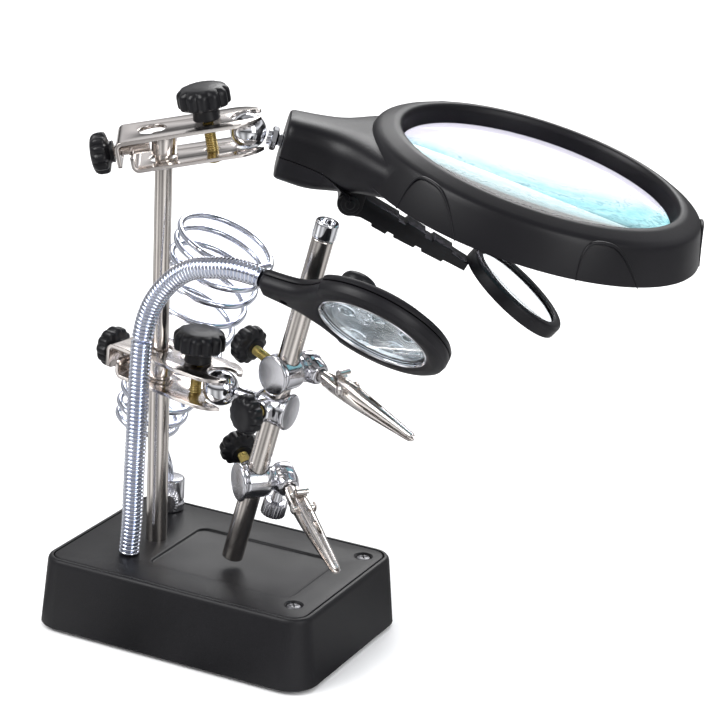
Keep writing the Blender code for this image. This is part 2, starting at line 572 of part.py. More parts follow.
def make_aux_lens(head):
    drop = math.radians(AUX_ARM_DROP)
    arm = frame("aux_axis", (AUX_PIVOT[0], 0, AUX_PIVOT[1]),
                (math.cos(drop), 0, -math.sin(drop)), (math.sin(drop), 0, math.cos(drop)), head)
    side_view = [(-3.6, -2.4), (0, -4.4), (4.0, -3.0), (16, -3.4), (18, -2.2), (AUX_ARM_LENGTH, -1.6),
                 (AUX_ARM_LENGTH, 1.6), (18, 2.2), (16, 3.2), (5, 3.2), (2, 4.0), (-2.5, 3.4), (-4.2, 0)]
    bar = place(sheet("aux_arm", side_view, -4.0, 4.0), arm, BLACK, along=-Y)
    cut(bar, cutter(rod("aux_pin_hole", 1.8, -8, 8, 16), arm, along=Y))
    head_at = EAR_GAP + EAR_THICK + GAP
    pin = turned("aux_pivot_pin", [(0, head_at + 0.8), (2.9, head_at + 0.8), (2.9, head_at),
                                   (1.5, head_at), (1.5, -head_at), (2.9, -head_at),
                                   (2.9, -head_at - 0.8), (0, -head_at - 0.8)], 16)
    place(pin, arm, STEEL, along=-Y)
    tilt = math.radians(AUX_RING_DROP)
    ring_frame = frame("aux_ring_place", (AUX_RING_AT, 0, 0),
                       (math.cos(tilt), 0, -math.sin(tilt)), (math.sin(tilt), 0, math.cos(tilt)), arm)
    ring = turned("aux_ring", [(AUX_LENS_RADIUS - 0.7, 2.4), (AUX_RING_RADIUS - 0.6, 2.4),
                               (AUX_RING_RADIUS, 1.6), (AUX_RING_RADIUS, -2.4),
                               (AUX_LENS_RADIUS + 1.3, -2.4), (AUX_LENS_RADIUS + 0.4, -1.0),
                               (AUX_LENS_RADIUS + 0.4, 1.5), (AUX_LENS_RADIUS - 0.7, 1.5)], 32, True)
    place(ring, ring_frame, BLACK)
    cut(bar, cutter(rod("aux_ring_clear", AUX_RING_RADIUS + GAP, -8, 8, 32), ring_frame))
    lens = turned("aux_lens", [(0, 1.2), (10, 1.0), (AUX_LENS_RADIUS, 0.4), (AUX_LENS_RADIUS, -0.6),
                               (10, -1.6), (0, -2.0)], 32)
    place(lens, ring_frame, GLASS)


# Cross rod, holders and clips ---------------------------------------------------------------

def rod_point(along):
    return Vector(ROD_FOOT) + Vector(ROD_DIRECTION).normalized() * along


def make_cross_rod():
    axis = frame("cross_rod_axis", ROD_FOOT, Y, ROD_DIRECTION)
    body = turned("cross_rod", [(0, ROD_LENGTH - ROD_CAP), (ROD_RADIUS, ROD_LENGTH - ROD_CAP),
                                (ROD_RADIUS, 0.6), (ROD_RADIUS - 0.6, 0), (0, 0)])
    place(body, axis, NICKEL)
    cap = turned("rod_cap", [(0, ROD_LENGTH - 0.6), (1.9, ROD_LENGTH - 0.6), (1.9, ROD_LENGTH),
                             (ROD_RADIUS - 0.4, ROD_LENGTH), (ROD_RADIUS + 0.3, ROD_LENGTH - 0.7),
                             (ROD_RADIUS + 0.3, ROD_LENGTH - ROD_CAP + GAP),
                             (0, ROD_LENGTH - ROD_CAP + GAP)])
    place(cap, axis, NICKEL)


def rod_hole(name, along):
    hole = rod(name + "_rod_hole", ROD_RADIUS + GAP, -15, 15, 20)
    return cutter(hole, None, at=rod_point(along), along=ROD_DIRECTION)


def holder_knob(name, parent, direction, distance, mat=BLACK_KNOB, radius=6.7):
    """A knob whose screw reaches the rod through a holder, seen from the rod outward."""
    axis = frame(name + "_axis", (0, 0, 0), Z, direction, parent)
    piece = knob(name, radius, 5.0, 3.2, 1.6)
    place(piece, axis, mat, at=(0, 0, distance))
    tip = ROD_RADIUS + 1.6
    add(piece, cutter(rod(name + "_shaft", 1.7, tip, distance + 1, 12), axis))
    return axis


def cross_holder(name, along, axis_direction, knob_turn, knob_distance):
    """A die-cast holder: a drum that the rod passes through, a waist and a clip socket."""
    holder = frame(name + "_axis", rod_point(along), (0, 0, 1), axis_direction)
    profile = [(0, 13.4), (4.4, 13.4), (5.0, 12.7), (5.0, 7.8), (4.0, 6.7), (4.4, 5.4), (5.8, 4.6),
               (5.8, -4.2), (6.5, -4.7), (6.5, -5.6), (6.0, HOLDER_FRONT), (0, HOLDER_FRONT)]
    body = place(turned(name, profile, 20), holder, CASTING)
    cut(body, rod_hole(name, along))
    turn = math.radians(knob_turn)
    direction = (math.sin(turn), -math.cos(turn), 0)
    cut(body, cutter(rod(name + "_screw_hole", 2.0, 0, 12, 12), holder, along=direction, side=Z))
    holder_knob(name + "_knob", holder, direction, knob_distance)
    return holder


def channel(name, stations, thickness, upward):
    """A folded strip of U section: stations of x, half width, floor z and wall height."""
    bm = bmesh.new()
    rows = []
    for x, half, floor, height in stations:
        rim = floor + height * (1 if upward else -1)
        section = [(-half, rim), (-half, floor), (half, floor), (half, rim)]
        rows.append([bm.verts.new((x, y, z)) for y, z in section])
    for row, following in zip(rows, rows[1:]):
        for i in range(3):
            bm.faces.new((row[i], row[i + 1], following[i + 1], following[i]))
    obj = mesh_object(name, bm)
    solidify = obj.modifiers.new("sheet", "SOLIDIFY")
    solidify.thickness = thickness * MM
    solidify.offset = 0.0
    solidify.use_even_offset = True
    return obj


def make_clip(prefix, holder, drop):
    """An alligator clip in a holder's socket: fixed jaw with tang, rivet, and sprung jaw."""
    angle = math.radians(drop)
    forward = (-math.sin(angle), math.cos(angle), 0)
    clip = frame(prefix + "_axis", (0, 0, HOLDER_SOCKET), forward, (math.cos(angle), math.sin(angle), 0),
                 holder)
    socket = cutter(rod(prefix + "_socket", 2.3, -0.4, 9.0, 12), clip, along=X, side=Y)
    cut(PARTS.objects[holder.name.replace("_axis", "")], socket)
    start = 5.6
    stations = [(start + 2.0, 2.5, -2.4, 3.2), (start + 8.0, 3.4, -2.6, 4.2), (26.0, 3.4, -2.4, 2.9),
                (CLIP_LENGTH, 1.7, -1.0, 1.0)]
    jaw = place(channel(prefix + "_jaw", stations, 0.8, True), clip, NICKEL, smooth=False)
    add(jaw, cutter(rod(prefix + "_tang", 2.0, 0.0, start + 6.0, 12), clip, along=X, side=Y))
    pivot = frame(prefix + "_lever_axis", (CLIP_PIVOT, 0, 1.6), X, Z, clip)
    reach = CLIP_LENGTH - CLIP_PIVOT
    levers = [(-3.5, 2.3, 2.6, 1.6), (1.5, 2.3, 2.4, 2.6), (8.0, 2.3, 1.6, 2.2), (reach, 1.5, -0.4, 0.9)]
    place(channel(prefix + "_lever", levers, 0.7, False), pivot, NICKEL, smooth=False)
    lever = PARTS.objects[prefix + "_lever"]
    tab = sheet(prefix + "_tab", [(-3.6, 2.3), (-3.0, 2.9), (-4.8, 5.6), (-6.4, 6.6), (-6.8, 5.9),
                                  (-5.4, 5.0)], -2.2, 2.2)
    add(lever, cutter(tab, pivot, along=-Y))
    for part, owner in [(jaw, pivot), (lever, pivot)]:
        cut(part, cutter(rod(part.name + "_rivet_hole", 1.35, -8, 8, 12), owner, along=Y))
    rivet = turned(prefix + "_rivet", [(0, 4.7), (1.8, 4.7), (1.8, 4.15), (1.05, 4.15), (1.05, -4.15),
                                       (1.8, -4.15), (1.8, -4.7), (0, -4.7)], 12)
    place(rivet, pivot, NICKEL, along=Y)


def make_middle_holder(lower_arm):
    centre = Vector(ball_centre(lower_arm, LOWER_BALL_AT))
    crossing = rod_point(MIDDLE_AT)
    reach = (crossing - centre).length
    holder = frame("middle_holder_axis", centre, (0, 0, 1), crossing - centre)
    profile = [(0, reach + 6.2), (5.6, reach + 6.2), (6.1, reach + 5.6), (6.1, reach + 4.8),
               (5.6, reach + 4.6), (5.6, reach - 5.0), (4.2, reach - 6.4), (2.6, reach - 7.6),
               (2.6, BALL_RADIUS + GAP), (0, BALL_RADIUS + GAP + 0.2)]
    body = place(turned("middle_holder", profile, 20), holder, CASTING)
    cut(body, rod_hole("middle_holder", MIDDLE_AT))
    seat = frame("middle_knob_seat", (0, 0, reach), X, Z, holder)
    outward = holder.matrix_world.inverted().to_3x3() @ Vector((-0.36, -0.93, 0.0))
    cut(body, cutter(rod("middle_screw_hole", 2.0, 0, 12, 12), seat, along=outward, side=Z))
    holder_knob("middle_holder_knob", seat, outward, 8.2)


def make_holders():
    upper = cross_holder("upper_holder", UPPER_HOLDER_AT, UPPER_HOLDER_AXIS, UPPER_KNOB_TURN, 14.8)
    make_clip("upper_clip", upper, UPPER_CLIP_DROP)
    lower = cross_holder("lower_holder", LOWER_HOLDER_AT, LOWER_HOLDER_AXIS, LOWER_KNOB_TURN, 12.4)
    make_clip("lower_clip", lower, LOWER_CLIP_DROP)
    down = lower.matrix_world.inverted().to_3x3() @ -Vector(ROD_DIRECTION)
    thumb_frame = frame("lower_thumb_axis", (0, 0, HOLDER_SOCKET), Z, down, lower)
    thumb = turned("lower_thumbscrew", [(0, 14.6), (3.6, 14.6), (4.2, 14.0), (4.2, 9.6), (3.6, 9.0),
                                        (1.6, 9.0), (1.6, 5.4), (0, 5.4)], 20)
    place(thumb, thumb_frame, CASTING)


# Goose-neck lamp ----------------------------------------------------------------------------

def make_gooseneck():
    place(tube("gooseneck_lower", NECK_PATH[:NECK_SPLIT + 1], NECK_RADIUS, 3), None, CHROME)
    split, following = Vector(NECK_PATH[NECK_SPLIT]), Vector(NECK_PATH[NECK_SPLIT + 1])
    direction = (following - split).normalized()
    upper_path = [split + direction * 1.1, *NECK_PATH[NECK_SPLIT + 1:-2]]
    neck = Vector(LAMP_NECK)
    inward = Vector(LAMP_X).normalized()
    upper_path += [neck - inward * 4.0, neck - inward]
    place(tube("gooseneck_upper", upper_path, NECK_RADIUS, 3), None, CHROME)


def make_lamp():
    lamp = frame("lamp_axis", LAMP_NECK, LAMP_X, LAMP_BACK)
    centre = LAMP_CENTRE
    plan = (arc((centre, 0), LAMP_RADIUS, -128, 128, 28)
            + [(14.0, 8.6), (8.0, 6.0), (1.0, 4.6), (0, 3.8), (0, -3.8), (1.0, -4.6), (8.0, -6.0),
               (14.0, -8.6)])
    face = sheet("lamp_face", plan, -4.2, -0.15)
    place(face, lamp, BLACK)
    back = place(sheet("lamp_back", plan, 0.15, 2.7), lamp, BLACK)
    dome = turned("lamp_dome", [(0, 5.7), (14.0, 5.3), (19.5, 4.2), (23.0, 2.6), (23.0, 1.9), (0, 1.9)], 36)
    add(back, cutter(dome, lamp, at=(centre, 0, 0)))
    cut(back, cutter(rod("lamp_hollow", LAMP_RADIUS - 4, -1, 1.5, 36), lamp, at=(centre, 0, 0)))
    cut(back, cutter(rod("lamp_button_hole", 6.2, -1, 12, 20), lamp, at=(*BUTTON_AT, 0)))
    cut(face, cutter(rod("lamp_window_hole", WINDOW_RADIUS, -6, 2, 36), lamp, at=(centre, 0, 0)))
    window = rod("lamp_window", WINDOW_RADIUS - GAP, -3.6, -2.4, 36)
    place(window, lamp, GLASS, at=(centre, 0, 0))
    board = rod("led_board", WINDOW_RADIUS - GAP, -1.6, -0.3, 32)
    place(board, lamp, REFLECTOR, at=(centre, 0, 0))
    button = turned("lamp_button", [(0, 7.8), (4.6, 7.5), (5.8, 6.5), (5.8, 2.8), (0, 2.8)], 20)
    place(button, lamp, BLACK_KNOB, at=(*BUTTON_AT, 0))


# Soldering iron holder ----------------------------------------------------------------------

def make_iron_holder():
    boss_frame = frame("iron_holder_axis", (*BOSS, BASE_TOP))
    height = BOSS_TOP - BASE_TOP
    boss = turned("holder_boss", [(0, height), (BOSS_RADIUS - 0.6, height), (BOSS_RADIUS, height - 0.6),
                                  (BOSS_RADIUS, 0.4), (2.3, 0.4), (2.3, -18), (0, -18)], 20)
    place(boss, boss_frame, CASTING)
    cut(boss, cutter(rod("boss_bore", COIL_WIRE + GAP, 2, height + 1, 12), boss_frame))
    cut(boss, cutter(rod("boss_screw_bore", 1.9, 0, 8, 12), boss_frame, at=(0, 0, 7), along=(0.43, -0.9, 0)))
    thumb = turned("boss_thumbscrew", [(0, 13.0), (3.5, 13.0), (4.0, 12.5), (4.0, 7.6), (3.5, 7.0),
                                       (1.6, 7.0), (1.6, 1.8), (0, 1.8)], 20)
    place(thumb, boss_frame, CASTING, at=(0, 0, 7), along=(0.43, -0.9, 0))
    wire = [(*BOSS, 28.5), (*BOSS, 38.0), (BOSS[0] - 0.4, BOSS[1] - 0.3, 42.0),
            (BOSS[0] - 1.6, BOSS[1] - 0.4, 45.6), (BOSS[0] - 3.6, BOSS[1] + 0.6, 48.4)]
    start, end = Vector(COIL_START), Vector(COIL_END)
    axis = (end - start).normalized()
    across = Y.cross(axis).normalized()
    for i in range(COIL_TURNS * COIL_STEPS + 1):
        part = i / (COIL_TURNS * COIL_STEPS)
        angle = 2 * math.pi * i / COIL_STEPS
        radius = COIL_RADII[0] + (COIL_RADII[1] - COIL_RADII[0]) * part ** 0.55
        climb = part - COIL_CROWDING * math.sin(2 * math.pi * part)
        around = across * math.cos(angle) + Y * math.sin(angle)
        wire.append(start + (end - start) * climb + around * radius)
    place(tube("iron_coil", wire, COIL_WIRE, 1), None, CHROME)


clear_scene()
PARTS = new_collection(COLLECTION)
CUTTERS = new_collection("cutters")
make_base_shell()
make_lid()
make_underside()
make_ballast_and_cells()
make_pole()
UPPER_ARM = make_upper_arm()
LOWER_ARM = make_lower_arm()
make_aux_lens(make_head(UPPER_ARM))
make_cross_rod()
make_middle_holder(LOWER_ARM)
make_holders()
make_gooseneck()
make_lamp()
make_iron_holder()
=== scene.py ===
"""Looks of the helping hands clamp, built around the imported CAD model.

Lengths in the tables below are millimetres in the frame that the CAD uses: origin at the
centre of the base's underside, +X right, +Y back, +Z up. Every piece rides on a CAD body.
"""
import math

import bmesh
import bpy
from mathutils import Matrix, Vector


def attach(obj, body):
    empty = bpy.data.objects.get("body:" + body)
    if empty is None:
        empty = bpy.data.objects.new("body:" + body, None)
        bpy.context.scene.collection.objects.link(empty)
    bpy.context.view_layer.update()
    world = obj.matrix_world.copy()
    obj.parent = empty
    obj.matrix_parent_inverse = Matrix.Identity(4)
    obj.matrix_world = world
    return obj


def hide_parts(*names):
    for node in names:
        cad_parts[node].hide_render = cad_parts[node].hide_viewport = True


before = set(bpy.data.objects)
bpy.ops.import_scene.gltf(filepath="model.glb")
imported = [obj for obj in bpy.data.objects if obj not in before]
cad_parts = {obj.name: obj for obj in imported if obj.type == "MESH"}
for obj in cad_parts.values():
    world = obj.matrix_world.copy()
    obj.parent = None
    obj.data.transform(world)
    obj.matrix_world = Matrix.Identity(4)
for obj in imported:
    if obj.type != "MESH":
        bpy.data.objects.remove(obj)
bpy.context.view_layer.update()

MM = 0.001
X, Y, Z = Vector((1, 0, 0)), Vector((0, 1, 0)), Vector((0, 0, 1))
IDENTITY = Matrix.Identity(4)
FACTOR, FIRST, SECOND = 0, 6, 7          # sockets of a Mix node that mixes colours


# Node materials ------------------------------------------------------------------------------

def set_stops(ramp, stops):
    """Give a colour ramp its stops, each a position and a colour."""
    elements = ramp.color_ramp.elements
    for i, (position, colour) in enumerate(stops):
        element = elements[i] if i < 2 else elements.new(position)
        element.position = position
        element.color = (*colour, 1.0)


def in_mirrors(tree, shown, mirrored):
    """A colour that mirror images show as `mirrored`, and the camera and lenses as `shown`."""
    mix, path = tree.nodes.new("ShaderNodeMix"), tree.nodes.new("ShaderNodeLightPath")
    mix.data_type = "RGBA"
    mirror = tree.nodes.new("ShaderNodeMath")
    mirror.operation, mirror.use_clamp = "SUBTRACT", True
    tree.links.new(path.outputs["Is Glossy Ray"], mirror.inputs[0])
    tree.links.new(path.outputs["Is Transmission Ray"], mirror.inputs[1])
    tree.links.new(mirror.outputs[0], mix.inputs[FACTOR])
    tree.links.new(mirrored, mix.inputs[SECOND])
    if isinstance(shown, tuple):
        mix.inputs[FIRST].default_value = shown
    else:
        tree.links.new(shown, mix.inputs[FIRST])
    return mix.outputs[2]


class Nodes:
    """A small builder of one material's node tree."""

    def __init__(self, name, rough, metal=0.0, specular=0.5):
        self.material = bpy.data.materials.new(name)
        self.material.use_nodes = True
        self.tree = self.material.node_tree
        self.shader = self.tree.nodes["Principled BSDF"]
        self.shader.inputs["Roughness"].default_value = rough
        self.shader.inputs["Metallic"].default_value = metal
        self.shader.inputs["Specular IOR Level"].default_value = specular
        self.where = self.tree.nodes.new("ShaderNodeTexCoord").outputs["Object"]

    def node(self, kind, **settings):
        node = self.tree.nodes.new("ShaderNode" + kind)
        for key, value in settings.items():
            setattr(node, key, value)
        return node

    def link(self, source, node, socket):
        self.tree.links.new(source, node.inputs[socket])

    def stretched(self, scale):
        mapping = self.node("Mapping")
        mapping.inputs["Scale"].default_value = scale
        self.link(self.where, mapping, "Vector")
        return mapping.outputs["Vector"]

    def noise(self, scale, detail=3.0, stretch=(1, 1, 1), distortion=0.0):
        noise = self.node("TexNoise")
        noise.inputs["Scale"].default_value = scale
        noise.inputs["Detail"].default_value = detail
        noise.inputs["Distortion"].default_value = distortion
        self.link(self.stretched(stretch), noise, "Vector")
        return noise.outputs["Fac"]

    def ranged(self, value, low, high, start=0.3, end=0.7):
        node = self.node("MapRange")
        for socket, number in (("From Min", start), ("From Max", end), ("To Min", low), ("To Max", high)):
            node.inputs[socket].default_value = number
        self.link(value, node, "Value")
        return node.outputs["Result"]

    def ramp(self, value, stops):
        ramp = self.node("ValToRGB")
        set_stops(ramp, stops)
        self.link(value, ramp, "Fac")
        return ramp.outputs["Color"]

    def bump(self, height, strength, distance, under=None):
        bump = self.node("Bump")
        bump.inputs["Strength"].default_value = strength
        bump.inputs["Distance"].default_value = distance
        self.link(height, bump, "Height")
        if under is not None:
            self.link(under, bump, "Normal")
        return bump.outputs["Normal"]

    def use(self, colour=None, rough=None, normal=None):
        for value, socket in ((colour, "Base Color"), (rough, "Roughness"), (normal, "Normal")):
            if value is not None:
                self.link(value, self.shader, socket)
        return self.material


def moulded(name, dark, light, rough, grain, strength):
    """Moulded plastic: spark-eroded grain, faint flow marks and slightly uneven gloss."""
    n = Nodes(name, rough, specular=0.32)
    flow = n.noise(28, 3)
    fine = n.noise(grain, 2)
    colour = n.ramp(flow, [(0.3, dark), (0.7, light)])
    return n.use(colour, n.ranged(flow, rough - 0.05, rough + 0.07), n.bump(fine, strength, 0.00012))


def plated(name, dark, light, rough, stretch, scratch=900, strength=0.05):
    """Plated metal: faint drawing marks along one axis and cloudy gloss."""
    n = Nodes(name, rough, 1.0)
    cloud = n.noise(60, 4)
    marks = n.noise(scratch, 3, stretch)
    colour = n.ramp(cloud, [(0.25, dark), (0.75, light)])
    return n.use(colour, n.ranged(cloud, rough * 0.75, rough * 1.5), n.bump(marks, strength, 0.00005))


def cast(name, dark, light, rough):
    """Tumbled and plated die casting: orange peel over small dents."""
    n = Nodes(name, rough, 1.0)
    cloud, peel, dents = n.noise(160, 4), n.noise(700, 3), n.noise(240, 2, distortion=1.0)
    colour = n.ramp(cloud, [(0.3, dark), (0.7, light)])
    normal = n.bump(peel, 0.10, 0.00005, n.bump(dents, 0.12, 0.0001))
    return n.use(colour, n.ranged(cloud, rough * 0.7, rough * 1.6), normal)


def clear(name, tint, rough=0.0):
    """Clear plastic with a slightly smeared surface."""
    n = Nodes(name, rough)
    n.shader.inputs["Transmission Weight"].default_value = 1.0
    n.shader.inputs["IOR"].default_value = 1.25
    smear = n.noise(35, 3, distortion=0.6)
    return n.use(n.ramp(smear, [(0.35, tint), (0.65, tuple(min(1, c * 1.03) for c in tint))]),
                 n.ranged(smear, rough, rough + 0.02))


def magnifier_glass():
    """Clear acrylic, with a painted cyan reflection in wavy rings over the part of the lens towards -Y."""
    n = Nodes("magnifier_acrylic", 0.02)
    n.shader.inputs["Transmission Weight"].default_value = 1.0
    n.shader.inputs["IOR"].default_value = 1.22
    bands = n.node("TexWave", wave_type="RINGS", rings_direction="Z")
    bands.inputs["Scale"].default_value = 26
    bands.inputs["Distortion"].default_value = 2.6
    bands.inputs["Detail"].default_value = 1.0
    bands.inputs["Detail Scale"].default_value = 12
    n.link(n.stretched((1, 1.5, 1)), bands, "Vector")
    # Painted cyan reflection in wavy rings; the acrylic itself is clear.
    painted_cyan_rings = n.ramp(bands.outputs["Fac"], [(0.0, (0.26, 0.60, 0.66)), (0.5, (0.34, 0.70, 0.75)),
                                          (0.93, (0.50, 0.80, 0.84)), (1.0, (0.16, 0.40, 0.44))])
    split = n.node("SeparateXYZ")
    n.link(n.where, split, "Vector")
    curve = n.node("Math", operation="POWER")
    n.link(split.outputs["X"], curve, 0)
    curve.inputs[1].default_value = 2.0
    edge = n.node("Math", operation="MULTIPLY_ADD")
    n.link(curve.outputs[0], edge, 0)
    edge.inputs[1].default_value = -7.0
    n.link(split.outputs["Y"], edge, 2)
    # Mask of the painted reflection: the -Y part of the lens, curving back at the sides.
    near = n.ranged(edge.outputs[0], 1.0, 0.0, -0.014, -0.004)
    mix = n.node("Mix", data_type="RGBA")
    mix.inputs[FIRST].default_value = (0.72, 0.70, 0.80, 1.0)
    n.link(painted_cyan_rings, mix, SECOND)
    n.link(near, mix, FACTOR)
    return n.use(mix.outputs[2])


def silvered():
    """The silver reflector behind the lamp's window, crumpled a little and bright."""
    n = Nodes("lamp_reflector", 0.16, 0.9)
    crease, cloud = n.noise(220, 3, distortion=1.5), n.noise(90, 2)
    return n.use(n.ramp(cloud, [(0.3, (0.74, 0.78, 0.82)), (0.7, (0.93, 0.95, 0.98))]), None,
                 n.bump(crease, 0.35, 0.0004))


BLACK = (moulded("satin_black", (0.0026, 0.0024, 0.0038), (0.0050, 0.0046, 0.0070), 0.40, 3600, 0.20),
         "black_plastic")
BASE_BLACK = (moulded("base_black", (0.0030, 0.0029, 0.0040), (0.0058, 0.0055, 0.0075), 0.44, 2600, 0.32),
              "black_plastic")
KNOB = (moulded("knob_black", (0.003, 0.003, 0.004), (0.007, 0.007, 0.009), 0.33, 2400, 0.16),
        "knob_plastic")
RUBBER = (moulded("pad_rubber", (0.012, 0.012, 0.012), (0.025, 0.025, 0.025), 0.85, 1500, 0.5), "rubber")
NICKEL = (plated("bright_nickel", (0.66, 0.61, 0.585), (0.78, 0.735, 0.70), 0.13, (1, 1, 1)), "nickel")
ROD_METAL = (plated("drawn_nickel", (0.60, 0.555, 0.52), (0.74, 0.70, 0.665), 0.17, (30, 30, 0.6), 60, 0.10),
             "nickel")
CLIP_METAL = (plated("clip_nickel", (0.62, 0.58, 0.555), (0.80, 0.76, 0.73), 0.20, (1, 6, 6), 300, 0.10),
              "nickel")
CHROME = (plated("mirror_chrome", (0.74, 0.75, 0.79), (0.86, 0.87, 0.90), 0.06, (1, 1, 1), 900, 0.02),
          "chrome")
WIRE = (plated("blue_chrome", (0.66, 0.70, 0.82), (0.84, 0.87, 0.95), 0.10, (1, 1, 1), 900, 0.03), "chrome")
CASTING = (cast("die_casting", (0.58, 0.58, 0.62), (0.80, 0.80, 0.83), 0.15), "casting")
ZINC = (plated("yellow_zinc", (0.42, 0.36, 0.10), (0.66, 0.50, 0.22), 0.26, (1, 1, 1), 700, 0.1), "zinc")
STEEL = (plated("screw_steel", (0.10, 0.10, 0.11), (0.22, 0.22, 0.23), 0.32, (1, 1, 1), 700, 0.1), "steel")
GLASS = (magnifier_glass(), "glass")
CLEAR = (clear("clear_acrylic", (0.93, 0.97, 0.99)), "glass")
REFLECTOR = (silvered(), "board")
CELL = (moulded("cell_sleeve", (0.05, 0.07, 0.14), (0.09, 0.11, 0.20), 0.35, 900, 0.1), "cell")
IRON = (moulded("raw_iron", (0.05, 0.05, 0.05), (0.12, 0.11, 0.10), 0.7, 700, 0.6), "iron")


# Frames, meshes and pieces -------------------------------------------------------------------

SMOOTH_ANGLE, CUT_ANGLE = 38, 34         # degrees; sharper edges stay sharp, the second after a Boolean


def axes(origin, x_axis=X, z_axis=Z, parent=IDENTITY):
    """A frame whose Z is exact and whose X is squared up to it, in metres."""
    z = Vector(z_axis).normalized()
    x = Vector(x_axis)
    if abs(x.normalized().dot(z)) > 0.99:
        x = Vector(Y)
    x = (x - x.dot(z) * z).normalized()
    matrix = Matrix((x, z.cross(x), z)).transposed().to_4x4()
    matrix.translation = Vector(origin) * MM
    return parent @ matrix


def aimed(x_axis, z_axis, parent):
    """A frame turned about its parent's own origin."""
    return axes((0, 0, 0), x_axis, z_axis, parent)


def piece(name, mesh, matrix, look, body, replaced=(), angle=SMOOTH_ANGLE):
    """Make a mesh a shown piece: its material, shading, place, body and the nodes it replaces."""
    if isinstance(mesh, bmesh.types.BMesh):
        bm, mesh = mesh, bpy.data.meshes.new(name)
        bmesh.ops.recalc_face_normals(bm, faces=bm.faces)
        bm.to_mesh(mesh)
        bm.free()
        mesh.transform(Matrix.Scale(MM, 4))
    obj = bpy.data.objects.new(name, mesh)
    bpy.context.scene.collection.objects.link(obj)
    obj.matrix_world = matrix
    mesh.materials.clear()
    mesh.materials.append(look[0])
    mesh.shade_smooth()
    mesh.set_sharp_from_angle(angle=math.radians(angle))
    if body:
        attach(obj, body)
        if replaced:
            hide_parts(*replaced)
    return obj


def settle(obj):
    """Put a tilted piece's mesh into the shared frame, so that its box is no larger than it is."""
    obj.data.transform(obj.matrix_world)
    obj.matrix_world = IDENTITY


def boolean(obj, tools, operation="DIFFERENCE"):
    """Exact Booleans of millimetre meshes, each (bmesh, matrix), into a piece, applied at once."""
    helpers = []
    for index, (bm, matrix) in enumerate(tools):
        helper = piece(f"{obj.name}_tool_{index}", bm, matrix, BLACK, None)
        modifier = obj.modifiers.new("boolean", "BOOLEAN")
        modifier.object, modifier.operation, modifier.solver = helper, operation, "EXACT"
        helpers.append(helper)
    bpy.context.view_layer.update()
    mesh = bpy.data.meshes.new_from_object(obj.evaluated_get(bpy.context.evaluated_depsgraph_get()))
    old, material = obj.data, obj.data.materials[0]
    obj.modifiers.clear()
    obj.data = mesh
    mesh.name = old.name
    mesh.materials.clear()
    mesh.materials.append(material)
    for polygon in mesh.polygons:
        polygon.material_index = 0
    mesh.shade_smooth()
    mesh.set_sharp_from_angle(angle=math.radians(CUT_ANGLE))
    for helper in helpers:
        bpy.data.objects.remove(helper, do_unlink=True)
    return obj


def fillet(points, radius, steps=3, closed=False):
    """Round the corners of a 2D or 3D path."""
    points = [Vector(p) for p in points]
    count, result = len(points), []
    for i, point in enumerate(points):
        if not closed and i in (0, count - 1):
            result.append(point)
            continue
        before, after = points[i - 1] - point, points[(i + 1) % count] - point
        reach = min(radius, before.length * 0.45, after.length * 0.45)
        start, end = point + before.normalized() * reach, point + after.normalized() * reach
        for k in range(steps + 1):
            t = k / steps
            result.append(start * (1 - t) ** 2 + point * 2 * t * (1 - t) + end * t ** 2)
    return result


def skin(rings, closed=False, merge=0.0005):
    """Quads between rings of equal count; the first and last are capped, or joined if closed."""
    bm = bmesh.new()
    rows = [[bm.verts.new(point) for point in ring] for ring in rings]
    pairs = list(zip(rows, rows[1:])) + ([(rows[-1], rows[0])] if closed else [])
    for row, following in pairs:
        for i in range(len(row)):
            j = (i + 1) % len(row)
            bm.faces.new((row[i], row[j], following[j], following[i]))
    if not closed:
        bm.faces.new(rows[0])
        bm.faces.new(rows[-1])
    bmesh.ops.remove_doubles(bm, verts=bm.verts, dist=merge)
    return bm


def lathe(profile, steps=64, closed=False, soft=0.25, lobes=0, depth=0.0, full=1.0):
    """A profile of (radius, z) turned about Z; lobes flute whatever lies outside `full` radius."""
    rings = []
    for radius, z in fillet(profile, soft, 3, closed) if soft else [Vector(p) for p in profile]:
        ring = []
        for i in range(steps):
            angle = 2 * math.pi * i / steps
            reach = max(radius, 0.001)
            if lobes:
                share = min(1.0, max(0.0, (radius / full - 0.72) / 0.2))
                reach *= 1 - depth * share * (1 - abs(math.cos(lobes * angle / 2)))
            ring.append((reach * math.cos(angle), reach * math.sin(angle), z))
        rings.append(ring)
    return skin(rings, closed)


def arc(centre, radius, start, end, steps):
    """Points along an arc; its start and end are in degrees."""
    angles = [math.radians(start + (end - start) * i / steps) for i in range(steps + 1)]
    return [(centre[0] + radius * math.cos(a), centre[1] + radius * math.sin(a)) for a in angles]


def rounded(left, right, front, back, radius, steps=8):
    """A rectangle with round corners."""
    low_x, high_x, low_y, high_y = left + radius, right - radius, front + radius, back - radius
    corners = ((high_x, high_y), (low_x, high_y), (low_x, low_y), (high_x, low_y))
    return [point for turn, corner in enumerate(corners)
            for point in arc(corner, radius, turn * 90, turn * 90 + 90, steps)]


def smooth_path(points, steps):
    """Catmull-Rom through the points, with `steps` samples between each pair."""
    points = [Vector(p) for p in points]
    padded = [2 * points[0] - points[1], *points, 2 * points[-1] - points[-2]]
    result = []
    for a, b, c, d in zip(padded, padded[1:], padded[2:], padded[3:]):
        for k in range(steps):
            t = k / steps
            result.append(0.5 * (2 * b + (c - a) * t + (2 * a - 5 * b + 4 * c - d) * t * t
                                 + (3 * b - a - 3 * c + d) * t ** 3))
    return result + [points[-1]]


